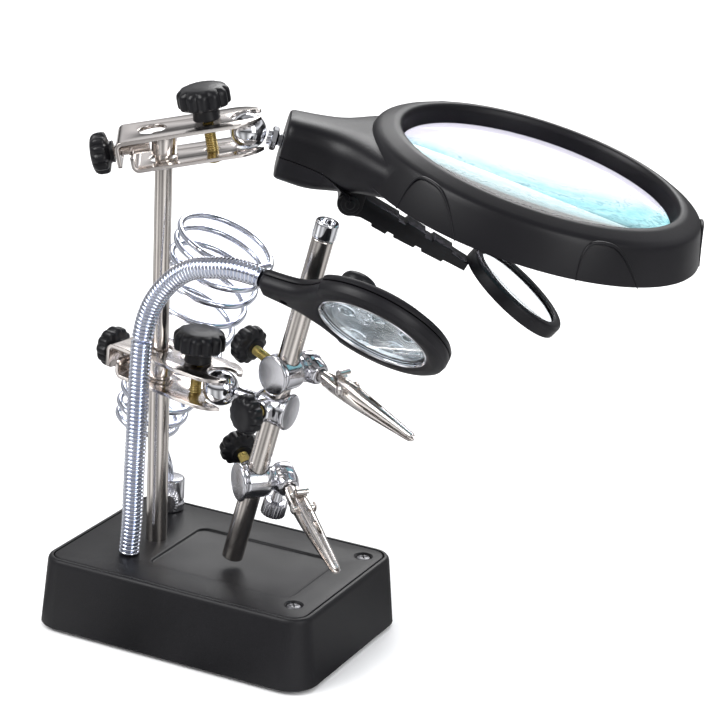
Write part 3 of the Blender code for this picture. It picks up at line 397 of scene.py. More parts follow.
def sweep(points, radii, sides=16):
    """A round tube along the points, turned as little as possible from one to the next."""
    points = [Vector(p) for p in points]
    count = len(points)
    side, rings = None, []
    for i, point in enumerate(points):
        tangent = (points[min(i + 1, count - 1)] - points[max(i - 1, 0)]).normalized()
        side = tangent.orthogonal() if side is None else side - side.dot(tangent) * tangent
        side.normalize()
        other = tangent.cross(side)
        radius = radii[i] if isinstance(radii, (list, tuple)) else radii
        rings.append([point + (side * math.cos(a) + other * math.sin(a)) * radius
                      for a in (2 * math.pi * k / sides for k in range(sides))])
    return skin(rings)


def slab(outline, bottom, top, edge, holes=()):
    """A flat plate with rounded edges, from a filled 2D curve with a bevel."""
    curve = bpy.data.curves.new("slab", "CURVE")
    curve.dimensions, curve.fill_mode = "2D", "BOTH"
    curve.extrude = (top - bottom) / 2 - edge
    curve.bevel_depth, curve.bevel_resolution, curve.offset = edge, 2, -edge
    for loop in (outline, *holes):
        spline = curve.splines.new("POLY")
        spline.points.add(len(loop) - 1)
        for point, place in zip(spline.points, loop):
            point.co = (place[0], place[1], 0, 1)
        spline.use_cyclic_u = True
    source = bpy.data.objects.new("slab", curve)
    bpy.context.scene.collection.objects.link(source)
    bpy.context.view_layer.update()
    mesh = bpy.data.meshes.new_from_object(source.evaluated_get(bpy.context.evaluated_depsgraph_get()))
    bpy.data.objects.remove(source, do_unlink=True)
    bm = bmesh.new()
    bm.from_mesh(mesh)
    bmesh.ops.remove_doubles(bm, verts=bm.verts, dist=0.002)
    bmesh.ops.translate(bm, verts=bm.verts, vec=(0, 0, (top + bottom) / 2))
    return bm


def block(low, high, edge=0.0):
    """A box between two corners, with its edges rounded if `edge` says so."""
    bm = bmesh.new()
    bmesh.ops.create_cube(bm, size=1)
    bmesh.ops.scale(bm, vec=[b - a for a, b in zip(low, high)], verts=bm.verts)
    bmesh.ops.translate(bm, vec=[(a + b) / 2 for a, b in zip(low, high)], verts=bm.verts)
    if edge:
        bmesh.ops.bevel(bm, geom=bm.edges, offset=edge, segments=2, profile=0.6, affect="EDGES")
    return bm


ROWS_PER_TURN, THREAD_DEPTH = 6, 0.17    # the depth is a share of the radius


def threaded(radius, bottom, top, pitch=0.8, sides=28):
    """A screw thread of real helical geometry."""
    rows = int((top - bottom) / pitch * ROWS_PER_TURN)
    rings = []
    for row in range(rows + 1):
        z = bottom + (top - bottom) * row / rows
        ring = []
        for k in range(sides):
            phase = (z / pitch - k / sides) % 1.0
            reach = radius * (1 - THREAD_DEPTH * abs(2 * phase - 1))
            angle = 2 * math.pi * k / sides
            ring.append((reach * math.cos(angle), reach * math.sin(angle), z))
        rings.append(ring)
    return skin(rings)


def cylinder(radius, low, high, steps=32, soft=0):
    """A plain cylinder, for a rod or for cutting a hole."""
    return lathe([(0, high), (radius, high), (radius, low), (0, low)], steps, soft=soft)


def knob_mesh(radius, height, neck_radius, base):
    """A twelve-lobed knob: domed crown, flared skirt and a conical neck."""
    top = base + height
    profile = [(0, top + 0.6), (radius * 0.35, top + 0.52), (radius * 0.66, top + 0.2),
               (radius * 0.86, top - 0.35), (radius * 0.97, top - 1.3), (radius, top - 2.2),
               (radius, base + 1.3), (radius * 0.98, base + 0.5), (radius * 0.86, base + 0.05),
               (neck_radius + 0.5, base - 0.5), (neck_radius, base - 1.0), (neck_radius * 1.12, 0.0), (0, 0)]
    return lathe(profile, 144, soft=0.5, lobes=12, depth=0.11, full=radius)


# Base ----------------------------------------------------------------------------------------

LENGTH, DEPTH, TOP, FLARE = 100.0, 68.6, 25.5, 2.2
LID_LENGTH, LID_DEPTH = 95.6, 64.2
POLE_X, POLE_Y = -25.4, 0.4
POLE_RADIUS, POLE_TOP_RADIUS = 3.55, 2.9
UPPER_ARM_Z, LOWER_ARM_Z = 164.2, 88.5


def plan_ring(inset, z, corner=7.5, length=LENGTH, depth=DEPTH):
    """The base's plan, or the lid's, drawn in by `inset` at the height z."""
    half_x, half_y = length / 2 - inset, depth / 2 - inset
    return [(x, y, z) for x, y in rounded(-half_x, half_x, -half_y, half_y, max(corner - inset, 0.6))]


def make_base():
    wall = [(-FLARE, 1.5), (-FLARE + 0.1, 2.4), (-0.02, TOP - 1.6), (0.25, TOP - 0.7), (0.8, TOP - 0.1),
            (1.3, TOP), (1.75, TOP), (1.95, TOP - 0.25), (2.0, TOP - 0.8), (2.0, TOP - 2.5)]
    shell = skin([plan_ring(inset, z) for inset, z in fillet(wall, 0.3, 2)])
    piece("base_housing", shell, IDENTITY, BASE_BLACK, "base", ["base_shell"])
    edge = [(0.4, TOP - 2.0), (0, TOP - 1.9), (0, TOP - 0.5), (0.15, TOP - 0.12), (0.6, TOP)]
    rings = [plan_ring(inset, z, 5.2, LID_LENGTH, LID_DEPTH) for inset, z in fillet(edge, 0.2, 2)]
    tray = [(0.0, TOP), (0.5, TOP - 0.08), (0.75, TOP - 0.3), (1.0, TOP - 0.7), (1.5, TOP - 0.8)]
    for inset, z in fillet(tray, 0.2, 2):
        rings.append([(x, y, z) for x, y in rounded(-17.9 + inset, 37.4 - inset, -19.4 + inset, 17.9 - inset,
                                                    4.4 - inset)])
    lid = piece("base_top_plate", skin(rings), IDENTITY, BASE_BLACK, "base", ["base_lid"])
    tools = []
    for name, x, y in (("lid_screw_front", 40.4, -22.4), ("lid_screw_back", 41.8, 24.9)):
        tools.append((lathe([(0, 1), (3.5, 1), (3.3, 0), (2.6, -0.5), (2.6, -1.4), (0, -1.4)], 40, soft=0),
                      axes((x, y, TOP))))
        head = lathe([(0, -0.18), (1.4, -0.2), (2.2, -0.42), (2.5, -0.8), (2.5, -1.6), (0, -1.6)], 40,
                     soft=0.2)
        screw = piece(name + "_head", head, axes((x, y, TOP), (0.8, 0.6, 0)), STEEL, "base", [name])
        boolean(screw, [(block((-a, -b, -1.0), (a, b, 1)), screw.matrix_world.copy())
                        for a, b in ((1.5, 0.24), (0.24, 1.5))])
    boolean(lid, tools)


def make_pole():
    axis = axes((POLE_X, POLE_Y, 0))
    piece("pole_main", cylinder(POLE_RADIUS, 15.3, 91, 72, 0.6), axis, ROD_METAL, "base", ["pole_lower"])
    piece("pole_top", cylinder(POLE_TOP_RADIUS, 91.2, 166, 72, 0.6), axis, ROD_METAL, "base",
          ["pole_upper"])


# Clamp arms ----------------------------------------------------------------------------------

SHEET, MIDDLE, BEND = 1.3, 4.9, 2.6       # thickness, half the gap to mid-sheet, outer bend radius
HALF_WIDTH, BALL_HOLE = 10.0, 4.9
BALL_RADIUS = 6


def clamp_plate(name, arm, body, ball_at, screw_at, pole_hole, top, node):
    """A pressed plate: drawn flat with its holes and its hooked end, then bent at the pole end."""
    outer = MIDDLE + SHEET / 2
    reach, drop, notch = (15.2, 9.0, 3.4) if top else (10.9, 6.6, 4.8)
    start = -reach + BEND
    neutral = BEND - SHEET / 2
    quarter = neutral * math.pi / 2
    flat_end = start - quarter - (drop - BEND)
    centre, beta = ball_at - 4.0, math.degrees(math.asin(notch / BALL_HOLE))
    alpha = math.degrees(math.asin(notch / HALF_WIDTH))
    corner = [(flat_end, 8.5), (flat_end + 0.5, 9.5), (flat_end + 1.5, HALF_WIDTH)]
    hook = arc((ball_at, 0), BALL_HOLE, beta, 360 - beta, 28)
    outline = (corner + arc((centre, 0), HALF_WIDTH, 90, alpha + 4, 14)
               + [(hook[0][0] + 1.2, notch + 0.15)] + hook + [(hook[-1][0] + 1.2, -notch - 0.15)]
               + arc((centre, 0), HALF_WIDTH, -alpha - 4, -90, 14)
               + [(x, -y) for x, y in reversed(corner)])
    holes = [arc((pole_hole, 0), 4.65, 0, 350, 35), arc((screw_at, 0), 2.5, 0, 345, 23)]
    if top:
        holes.append(arc((start - quarter - (outer - BEND), 0), 2.5, 0, 345, 23))
    bm = slab(outline, -SHEET, 0, 0.22, holes)
    for step in range(11):
        cut_at = start - quarter * step / 10
        bmesh.ops.bisect_plane(bm, geom=bm.verts[:] + bm.edges[:] + bm.faces[:], plane_co=(cut_at, 0, 0),
                               plane_no=(1, 0, 0))
    for vertex in bm.verts:
        x, depth = vertex.co.x, -vertex.co.z
        if x >= start:
            vertex.co.z = outer - depth
            continue
        travel = start - x
        angle = min(travel / neutral, math.pi / 2)
        rest = max(0.0, travel - quarter)
        vertex.co.x = start - (BEND - depth) * math.sin(angle)
        vertex.co.z = outer - BEND + (BEND - depth) * math.cos(angle) - rest
    if not top:
        bmesh.ops.scale(bm, vec=(1, 1, -1), verts=bm.verts)
    piece(name, bm, arm, NICKEL, body, [node], 40)


def make_arm(prefix, arm, pole_z, pole_radius, ball_at, screw_at, holes):
    sleeve = lathe([(pole_radius + 0.3, 3.3), (pole_radius + 1.2, 3.3), (pole_radius + 1.2, -3.3),
                    (pole_radius + 0.3, -3.3)], 64, True, 0.3)
    piece(prefix + "_collar", sleeve, axes((POLE_X, POLE_Y, pole_z)), NICKEL, prefix + "_slider",
          [prefix + "_sleeve"])
    for top, side, hole in ((True, "top", holes[0]), (False, "bottom", holes[1])):
        clamp_plate(f"{prefix}_{side}_pressing", arm, prefix + "_arm", ball_at, screw_at, hole, top,
                    f"{prefix}_{side}_plate")
    thumb = axes((-16.4, 0, 0), Y, -X, arm)
    body = prefix + "_thumb_screw"
    piece(prefix + "_pole_handwheel", knob_mesh(7.0, 5.2, 3.4, 2.0), thumb, KNOB, body,
          [prefix + "_pole_knob"])
    tip = pole_radius + 1.8
    piece(prefix + "_pole_thread", threaded(2.0, -16.4 + tip, 0.3, 0.65), thumb, NICKEL, body)
    screw = axes((screw_at, 0, 0), X, Z, arm)
    body = prefix + "_clamp_screw"
    piece(prefix + "_clamp_thread", threaded(2.0, -8.5, 6.2), screw, ZINC, body, [prefix + "_clamp_bolt"])
    piece(prefix + "_clamp_handwheel", knob_mesh(8.75, 6.6, 4.2, 4.2), axes((0, 0, 6.15), X, Z, screw), KNOB,
          body, [prefix + "_clamp_knob"])
    turns = [math.radians(a) for a in range(0, 181, 4)]
    sphere = lathe([(BALL_RADIUS * math.sin(a), BALL_RADIUS * math.cos(a)) for a in turns], 64, soft=0)
    piece(prefix + "_swivel", sphere, axes((ball_at, 0, 0), X, Z, arm), CHROME, prefix + "_ball",
          [prefix + "_ball"])


UPPER_ARM = axes((POLE_X, POLE_Y, UPPER_ARM_Z), (0.860, 0.4735, 0.191), (-0.134, -0.152, 0.979))
LOWER_ARM = axes((POLE_X, POLE_Y, LOWER_ARM_Z), (0.986, -0.165, -0.07), (0.069, -0.0116, 0.9975))
UPPER_BALL, LOWER_BALL = 27.6, 26.5


# Magnifier head ------------------------------------------------------------------------------

# Stations of x, half width, bottom and top.
HANDLE = [(11.5, 10.5, -11.6, 9.8), (22.0, 12.0, -11.8, 10.6), (30.0, 15.5, -9.6, 11.3),
          (40.0, 25.0, -5.0, 12.4), (54.0, 38.0, 0.6, 13.0)]
LENS_AT, LENS_Z = 94.6, 9.7
SIDES, OVAL = 72, 0.62                    # of the handle's section
SEAM_END, COVER_END, SEAM_GAP = 38, 37, 0.16
ARCH_STEPS, ARCH_LEAN = 32, 4.5           # an arch leans by so many degrees at its top


def handle_stations():
    """Stations along the handle: x, half width, bottom and top, smoothed between the drawn ones."""
    path = smooth_path([(x, half, bottom) for x, half, bottom, _ in HANDLE], 7)
    tops = smooth_path([(x, top, 0) for x, _, _, top in HANDLE], 7)
    rows = [(p.x, p.y, p.z, t.y) for p, t in zip(path, tops)]
    x, half, bottom, top = rows[0]
    end = [(x, half - 1.3, bottom + 1.3, top - 1.3), (x + 0.1, half - 0.7, bottom + 0.7, top - 0.7),
           (x + 0.5, half - 0.2, bottom + 0.2, top - 0.2), (x + 1.2, half, bottom, top)]
    return end + rows[1:]


def seam_height(x):
    """The seam runs level from the end of the handle and curves down towards the hinge."""
    return -2.4 - 0.05 * max(x - 16, 0) - 0.022 * max(x - 24, 0) ** 2


def handle_half(upper):
    """The handle above or below its seam, with an oval section at each station."""
    rings = []
    for x, half, bottom, top in handle_stations():
        if not upper and x > COVER_END:
            break
        seam = seam_height(x)
        middle, height = (top + bottom) / 2, (top - bottom) / 2
        ring = []
        for i in range(SIDES):
            angle = 2 * math.pi * i / SIDES
            c, s = math.cos(angle), math.sin(angle)
            y = math.copysign(abs(c) ** OVAL, c) * half
            z = middle + math.copysign(abs(s) ** OVAL, s) * height
            if x < SEAM_END:
                z = max(z, seam + SEAM_GAP) if upper else min(z, seam - SEAM_GAP)
            ring.append((x, y, z))
        rings.append(ring)
    bm = skin(rings, merge=0.01)
    bmesh.ops.dissolve_degenerate(bm, edges=bm.edges, dist=0.01)
    return bm


def wall_point(azimuth, height):
    """A point on the lens ring's outer wall: height 0 at its foot and 1 at its top."""
    radius = 59.4 - 3.4 * height
    a = math.radians(azimuth)
    return Vector((radius * math.cos(a), radius * math.sin(a), -8.2 + 12.4 * height))


def make_head():
    ball = UPPER_ARM @ Vector((UPPER_BALL * MM, 0, 0)) / MM
    head = axes(ball, (0.8596, 0.4501, -0.2418), (0.2501, 0.042, 0.9673))
    stem_frame = aimed(Y, X, head)
    stem = lathe([(0, 17.0), (3.0, 17.0), (3.0, 14.2), (2.0, 14.2), (2.0, 9.9), (2.6, 9.7), (2.6, 6.4),
                  (0, 6.35)], 48, soft=0.3)
    piece("head_stem", stem, stem_frame, CHROME, "magnifier_stem", ["magnifier_stem"])
    nut = lathe([(2.5, 9.8), (3.3, 9.8), (4.05, 9.4), (4.05, 8.0), (3.3, 7.6), (2.5, 7.6)], 6, True, 0)
    piece("head_nut", nut, stem_frame, CHROME, "magnifier_stem", angle=25)
    lens_frame = axes((LENS_AT, 0, LENS_Z), X, Z, head)
    frame_piece = piece("magnifier_body", handle_half(True), head, BLACK, "magnifier", ["magnifier_frame"])
    boolean(frame_piece, [(cylinder(54.4, -30, 30, 96), lens_frame)])
    ring = lathe([(47.0, 5.4), (47.6, 6.9), (48.4, 7.35), (50.0, 7.2), (54.2, 5.2), (55.6, 4.2),
                  (56.2, 2.8), (59.4, -8.2), (57.4, -8.2), (54.0, 1.6), (50.0, 3.6), (49.4, -3.0),
                  (47.0, -3.0)], 144, True, 0.7)
    boolean(frame_piece, [(ring, lens_frame)], "UNION")
    boolean(frame_piece, [(cylinder(3.3, 8.0, 13.9, 40), stem_frame)])
    settle(frame_piece)
    for index, (azimuth, reach) in enumerate(((-128, 11.5), (-67, 11.0), (0, 11.0), (67, 11.0), (128, 11.5))):
        line, radii = [], []
        for step in range(ARCH_STEPS + 1):
            part = step / ARCH_STEPS
            across = 2 * part - 1
            rise = 1 - abs(across) ** 3.0
            line.append(wall_point(azimuth + reach * across - ARCH_LEAN * rise, rise))
            radii.append(0.2 + 0.45 * math.sin(math.pi * part))
        piece(f"grip_arch_{index + 1}", sweep(line, radii, 10), lens_frame, BLACK, "magnifier")
    cover = piece("handle_cover", handle_half(False), head, BLACK, "magnifier", ["magnifier_cover"])
    boolean(cover, [(cylinder(3.3, 8.0, 13.9, 40), stem_frame)])
    dome = [(46.5 * math.sin(a), 0.2 + 5.0 * math.cos(a)) for a in (math.pi / 2 * i / 20 for i in range(20))]
    lens = lathe([*dome, (46.5, 0.2), (46.5, -0.9), (0, -0.9)], 128, soft=0)
    piece("magnifier_glass", lens, lens_frame, GLASS, "magnifier", ["magnifier_lens"], 30)
    make_small_lens(head)


def make_small_lens(head):
    pivot = (38.2, 0, -12.4)
    pin_frame = axes(pivot, X, -Y, head)
    for side, name in ((1, "near"), (-1, "far")):
        ear = slab(arc((0, 0), 4.3, 180, 360, 24) + [(4.3, 7.4), (-1.4, 7.4), (-1.4, 3.8)], 4.4, 6.3, 0.35)
        if side < 0:
            bmesh.ops.scale(ear, vec=(1, 1, -1), verts=ear.verts)
        piece(f"hinge_ear_{name}", ear, pin_frame, BLACK, "magnifier")
    pin = lathe([(0, 7.4), (1.4, 7.35), (1.7, 6.95), (2.9, 6.9), (3.1, 6.5), (1.5, 6.4), (1.5, -6.4),
                 (3.1, -6.5), (2.9, -7.3), (0, -7.4)], 48, soft=0.2)
    piece("hinge_pin", pin, pin_frame, KNOB, "magnifier", ["aux_pivot_pin"])
    drop = math.radians(14.3)
    arm = axes(pivot, (math.cos(drop), 0, -math.sin(drop)), (math.sin(drop), 0, math.cos(drop)), head)
    outline = [(-3.8, -1.8), (-1.5, -4.1), (3.0, -4.1), (5.6, -3.1), (10.0, -3.0), (10.3, -3.9), (15.6, -3.9),
               (15.9, -2.7), (18.2, -2.7), (18.5, -3.5), (26.0, -3.2), (26.3, -2.2), (28.6, -2.1),
               (28.9, -3.0), (36.4, -2.7), (36.7, -1.8), (44.6, -1.5), (44.6, 1.4), (38.0, 1.7), (37.7, 2.7),
               (30.4, 2.9), (30.1, 2.0), (27.4, 2.0), (27.1, 3.1), (20.0, 3.4), (19.7, 2.3), (17.2, 2.3),
               (16.9, 3.2), (6.0, 3.4), (2.0, 4.0), (-2.2, 3.6), (-4.1, 1.0)]
    bar = slab(outline, -4.0, 4.0, 0.3)
    piece("small_lens_bar", bar, aimed(X, -Y, arm), BLACK, "small_lens", ["aux_arm"])
    disc = lathe([(0, 4.6), (2.4, 4.6), (3.3, 4.3), (3.5, 3.9), (0, 3.9)], 40, soft=0.2)
    piece("small_lens_boss", disc, aimed(X, -Y, arm), KNOB, "small_lens")
    tilt = math.radians(11.1)
    ring_frame = axes((63.6, 0, 0), (math.cos(tilt), 0, -math.sin(tilt)), (math.sin(tilt), 0, math.cos(tilt)),
                      arm)
    ring = lathe([(16.3, 2.4), (18.9, 2.5), (19.6, 1.6), (19.6, -2.4), (18.3, -2.4), (17.4, -1.0),
                  (17.4, 1.5), (16.3, 1.5)], 96, True, 0.45)
    piece("small_lens_ring", ring, ring_frame, BLACK, "small_lens", ["aux_ring"])
    top = [(17 * math.sin(a), 0.3 + 1.0 * math.cos(a)) for a in (math.pi / 2 * i / 12 for i in range(13))]
    low = [(17 * math.cos(a), -0.5 - 1.5 * math.sin(a)) for a in (math.pi / 2 * i / 12 for i in range(13))]
    piece("small_lens_glass", lathe(top + low, 96, soft=0), ring_frame, CLEAR, "small_lens", ["aux_lens"], 30)


# Cross rod, holders and clips ----------------------------------------------------------------

ROD = Vector((0.2436, 0, 0.9698)).normalized()
ROD_FOOT, ROD_RADIUS = Vector((7.2, -4.4, 28.0)), 3.6
UPPER_HOLDER_AT, MIDDLE_AT, LOWER_HOLDER_AT = 70.9, 57.9, 30.0      # along the rod, from its foot
SOCKET_AT = 10.2                                                 # from a holder's rod to its clip
SCREW_TIP = 5.2


def rod_hole(along):
    """A tool that bores a holder for the rod; it stands in the world frame."""
    radius = ROD_RADIUS + 0.25
    return cylinder(radius, -15, 15, 48), axes(ROD_FOOT + ROD * along, Y, ROD)


def make_rod():
    axis = axes(ROD_FOOT, Y, ROD)
    piece("cross_bar", cylinder(ROD_RADIUS, 0, 119.6, 72, 0.6), axis, ROD_METAL, "cross_rod", ["cross_rod"])
    cap = lathe([(0, 123.4), (2.2, 123.4), (2.5, 125.5), (3.5, 125.6), (3.9, 124.9), (3.9, 119.9),
                 (0, 119.9)], 72, soft=0.35)
    piece("cross_bar_cap", cap, axis, CHROME, "cross_rod", ["rod_cap"])


def holder_screw(name, seat, direction, distance, body, node):
    """A knob and the screw that reaches from it to the rod."""
    axis = aimed(Z, direction, seat)
    piece(name + "_handwheel", knob_mesh(6.7, 5.0, 3.2, 1.6), axes((0, 0, distance), X, Z, axis), KNOB, body,
          [node])
    piece(name + "_thread", threaded(1.75, SCREW_TIP, distance + 0.4, 0.7), axis, ZINC, body)


def cross_holder(prefix, along, axis_direction, knob_turn, distance, drop):
    holder = axes(ROD_FOOT + ROD * along, Z, axis_direction)
    profile = [(0, 13.4), (4.2, 13.3), (5.0, 12.5), (5.2, 10.2), (5.0, 8.2), (3.9, 6.9), (4.2, 5.6),
               (5.3, 4.4), (5.8, 3.2), (5.85, -3.4), (5.3, -4.3), (5.2, -4.6), (6.5, -4.9), (6.6, -5.6),
               (6.1, -6.0), (0, -6.0)]
    body = prefix + "_holder"
    casting = piece(prefix + "_casting", lathe(profile, 72, soft=0.7), holder, CASTING, body, [body])
    angle = math.radians(drop)
    towards = (math.cos(angle), math.sin(angle), 0)
    clip = axes((0, 0, SOCKET_AT), (-math.sin(angle), math.cos(angle), 0), towards, holder)
    hood = lathe([(0, 6.6), (2.9, 6.6), (3.6, 6.0), (4.4, 3.4), (4.6, 0), (0, 0)], 48, soft=0.5)
    boolean(casting, [(hood, aimed(Y, X, clip))], "UNION")
    turn = math.radians(knob_turn)
    direction = Vector((math.sin(turn), -math.cos(turn), 0))
    boss = lathe([(0, 6.9), (3.0, 6.9), (3.7, 6.2), (4.6, 3.0), (0, 3.0)], 48, soft=0.5)
    boolean(casting, [(boss, aimed(Z, direction, holder))], "UNION")
    boolean(casting, [rod_hole(along), (cylinder(2.3, -0.4, 9.0), aimed(Y, X, clip)),
                      (cylinder(2.0, 2, 12), aimed(Z, direction, holder))])
    holder_screw(prefix + "_holder", holder, direction, distance, body + "_screw", body + "_knob")
    make_clip(prefix, clip)
    return holder


def trough(stations, thickness, upward, points=9):
    """A folded strip with a round bottom: stations of x, half width, floor z and wall height."""
    sign = 1 if upward else -1
    bm = bmesh.new()
    rows = []
    for x, half, floor, height in stations:
        bottom = min(half, abs(height) * 0.8)
        outer, inner = [], []
        for radius, line in ((half, outer), (half - thickness, inner)):
            depth = bottom - (half - radius)
            line.append((x, -radius, floor + sign * height))
            for k in range(points):
                angle = math.pi * k / (points - 1)
                line.append((x, -radius * math.cos(angle), floor + sign * (bottom - depth * math.sin(angle))))
            line.append((x, radius, floor + sign * height))
        rows.append(([bm.verts.new(p) for p in outer], [bm.verts.new(p) for p in inner]))
    for (outer, inner), (next_outer, next_inner) in zip(rows, rows[1:]):
        for i in range(len(outer) - 1):
            bm.faces.new((outer[i], outer[i + 1], next_outer[i + 1], next_outer[i]))
            bm.faces.new((inner[i + 1], inner[i], next_inner[i], next_inner[i + 1]))
        for i in (0, -1):
            bm.faces.new((outer[i], next_outer[i], next_inner[i], inner[i]))
    for outer, inner in (rows[0], rows[-1]):
        for i in range(len(outer) - 1):
            bm.faces.new((outer[i], outer[i + 1], inner[i + 1], inner[i]))
    return bm


def make_clip(prefix, clip):
    """An alligator clip: tang and long round-backed jaw, rivet, and lever with its curled tab."""
    body = prefix + "_clip"
    jaw = trough([(7.4, 2.0, -1.9, 3.4), (9.5, 2.7, -2.5, 4.2), (14.0, 3.2, -2.9, 4.6),
                  (19.0, 3.3, -2.9, 4.4), (26.0, 3.1, -2.7, 3.4), (34.0, 2.6, -2.2, 2.5),
                  (42.0, 2.1, -1.7, 1.8), (48.0, 1.75, -1.35, 1.35), (49.4, 1.5, -1.2, 1.15),
                  (50.0, 1.15, -1.0, 0.9)], 0.6, True)
    lower = piece(prefix + "_clip_channel", jaw, clip, CLIP_METAL, body, [prefix + "_clip_jaw"])
    boolean(lower, [(cylinder(0.75, -5, 5, 20), axes((x, 0, -0.6), X, Y, clip)) for x in (10.6, 14.2)])
    tang = lathe([(0, 12.5), (1.2, 12.4), (2.0, 11.0), (2.0, 0.3), (1.7, 0), (0, 0)], 32, soft=0.2)
    piece(prefix + "_clip_tang", tang, aimed(Y, X, clip), CLIP_METAL, body)
    pivot = axes((19.0, 0, 1.6), X, Z, clip)
    shell = trough([(-3.6, 1.9, 2.5, 1.4), (-1.5, 2.3, 2.9, 2.6), (1.5, 2.4, 2.9, 3.2), (6.0, 2.4, 2.5, 3.0),
                    (12.0, 2.2, 1.9, 2.5), (20.0, 1.8, 1.1, 1.9), (27.0, 1.5, 0.4, 1.4),
                    (30.0, 1.35, 0.05, 1.2), (30.8, 1.0, -0.15, 0.9)], 0.5, False)
    lever = piece(prefix + "_clip_strap", shell, pivot, CLIP_METAL, prefix + "_clip_lever",
                  [prefix + "_clip_lever"])
    slot = block((9.5, -0.65, -2), (15.5, 0.65, 6), 0.3)
    boolean(lever, [(cylinder(0.75, -5, 5, 20), axes((4.6, 0, 1.4), X, Z, pivot)), (slot, pivot)])
    curl = [(-3.0, 2.4), (-3.9, 3.0), (-4.3, 3.9), (-4.0, 4.8), (-3.2, 5.2), (-2.4, 4.9), (-2.1, 4.2)]
    rings, half, thick = [], 2.1, 0.7
    path = smooth_path([(x, 0, z) for x, z in curl], 4)
    for i, point in enumerate(path):
        tangent = (path[min(i + 1, len(path) - 1)] - path[max(i - 1, 0)]).normalized()
        up = Vector((-tangent.z, 0, tangent.x)) * thick / 2
        rings.append([point - Y * half - up, point + Y * half - up, point + Y * half + up,
                      point - Y * half + up])
    piece(prefix + "_clip_thumb_tab", skin(rings), pivot, CLIP_METAL, prefix + "_clip_lever")
    rivet = lathe([(0, 4.5), (1.0, 4.4), (1.7, 3.9), (1.7, 3.7), (1.0, 3.6), (1.0, -3.6), (1.7, -3.7),
                   (1.7, -3.9), (1.0, -4.4), (0, -4.5)], 32, soft=0.15)
    piece(prefix + "_clip_pin", rivet, aimed(X, Y, pivot), CLIP_METAL, body,
          [prefix + "_clip_rivet"])


def make_holders():
    cross_holder("upper", UPPER_HOLDER_AT, (0.33, 0.95, 0.0), 15.0, 14.8, 12.0)
    lower = cross_holder("lower", LOWER_HOLDER_AT, (0.643, 0.766, 0.0), 23.0, 12.4, 16.0)
    down = lower.inverted().to_3x3() @ -ROD
    thumb = lathe([(0, 14.6), (3.4, 14.6), (4.2, 14.1), (4.2, 9.6), (3.5, 9.0), (1.9, 8.9), (1.7, 5.4),
                   (0, 5.4)], 120, soft=0.3, lobes=20, depth=0.16, full=4.2)
    piece("fluted_clip_screw", thumb, axes((0, 0, SOCKET_AT), Z, down, lower), CASTING, "lower_thumbscrew",
          ["lower_thumbscrew"])
    centre = LOWER_ARM @ Vector((LOWER_BALL * MM, 0, 0)) / MM
    crossing = ROD_FOOT + ROD * MIDDLE_AT
    reach = (crossing - centre).length
    middle = axes(centre, Z, crossing - centre)
    profile = [(0, reach + 6.2), (5.6, reach + 6.2), (6.2, reach + 5.6), (6.2, reach + 4.9),
               (5.3, reach + 4.5), (5.7, reach + 3.4), (5.6, reach - 4.2), (4.4, reach - 6.0),
               (2.7, reach - 7.4), (2.5, 8.0), (2.8, 6.4), (0, 6.4)]
    casting = piece("middle_casting", lathe(profile, 72, soft=0.7), middle, CASTING, "middle_holder",
                    ["middle_holder"])
    seat = axes((0, 0, reach), X, Z, middle)
    outward = middle.inverted().to_3x3() @ Vector((-0.36, -0.93, 0.0))
    boss = lathe([(0, 6.8), (3.0, 6.8), (3.7, 6.1), (4.4, 3.0), (0, 3.0)], 48, soft=0.5)
    boolean(casting, [(boss, aimed(Z, outward, seat))], "UNION")
    boolean(casting, [rod_hole(MIDDLE_AT), (cylinder(2.0, 2, 12), aimed(Z, outward, seat))])
    holder_screw("middle_holder", seat, outward, 8.2, "middle_screw", "middle_holder_knob")


# Goose-neck lamp -----------------------------------------------------------------------------

NECK_PATH = [(-26.3, -15.8, 25.8), (-25.4, -15.8, 36.0), (-25.0, -15.9, 45.0), (-24.6, -16.0, 56.0),
             (-24.1, -16.1, 67.0), (-23.6, -16.3, 78.0), (-23.1, -16.5, 88.0), (-22.6, -16.7, 95.5),
             (-21.9, -17.0, 102.5), (-20.6, -17.3, 108.3), (-18.7, -17.6, 113.5), (-16.1, -18.0, 118.2),
             (-12.8, -18.4, 122.4), (-9.0, -18.9, 126.2), (-4.8, -19.5, 129.3), (0.0, -20.2, 131.6),
             (5.1, -21.0, 132.8), (10.1, -21.5, 133.8), (15.1, -21.9, 134.2)]
NECK_SPLIT, NECK_RADIUS = 8, 3.55         # the upper half starts at this point of the path
RIB_STEPS, RIB_DEPTH = 8, 0.95
LAMP_NECK, LAMP_X, LAMP_BACK = (25.9, -22.6, 133.0), (38.8, 0.0, -8.9), (0.119, 0.69, 0.714)


def ribbed(points, radius, pitch=1.4):
    """A gooseneck: a tube of round wire ribs, evenly spaced along a smooth path."""
    path = smooth_path(points, 12)
    lengths = [0.0]
    for a, b in zip(path, path[1:]):
        lengths.append(lengths[-1] + (b - a).length)
    ribs = max(2, round(lengths[-1] / pitch))
    total, index, line, radii = lengths[-1], 0, [], []
    for step in range(ribs * RIB_STEPS + 1):
        at = total * step / (ribs * RIB_STEPS)
        while index < len(lengths) - 2 and lengths[index + 1] < at:
            index += 1
        share = (at - lengths[index]) / (lengths[index + 1] - lengths[index])
        line.append(path[index].lerp(path[index + 1], share))
        radii.append(radius - RIB_DEPTH * (1 - abs(math.sin(math.pi * step / RIB_STEPS))) ** 1.3)
    return sweep(line, radii, 28)


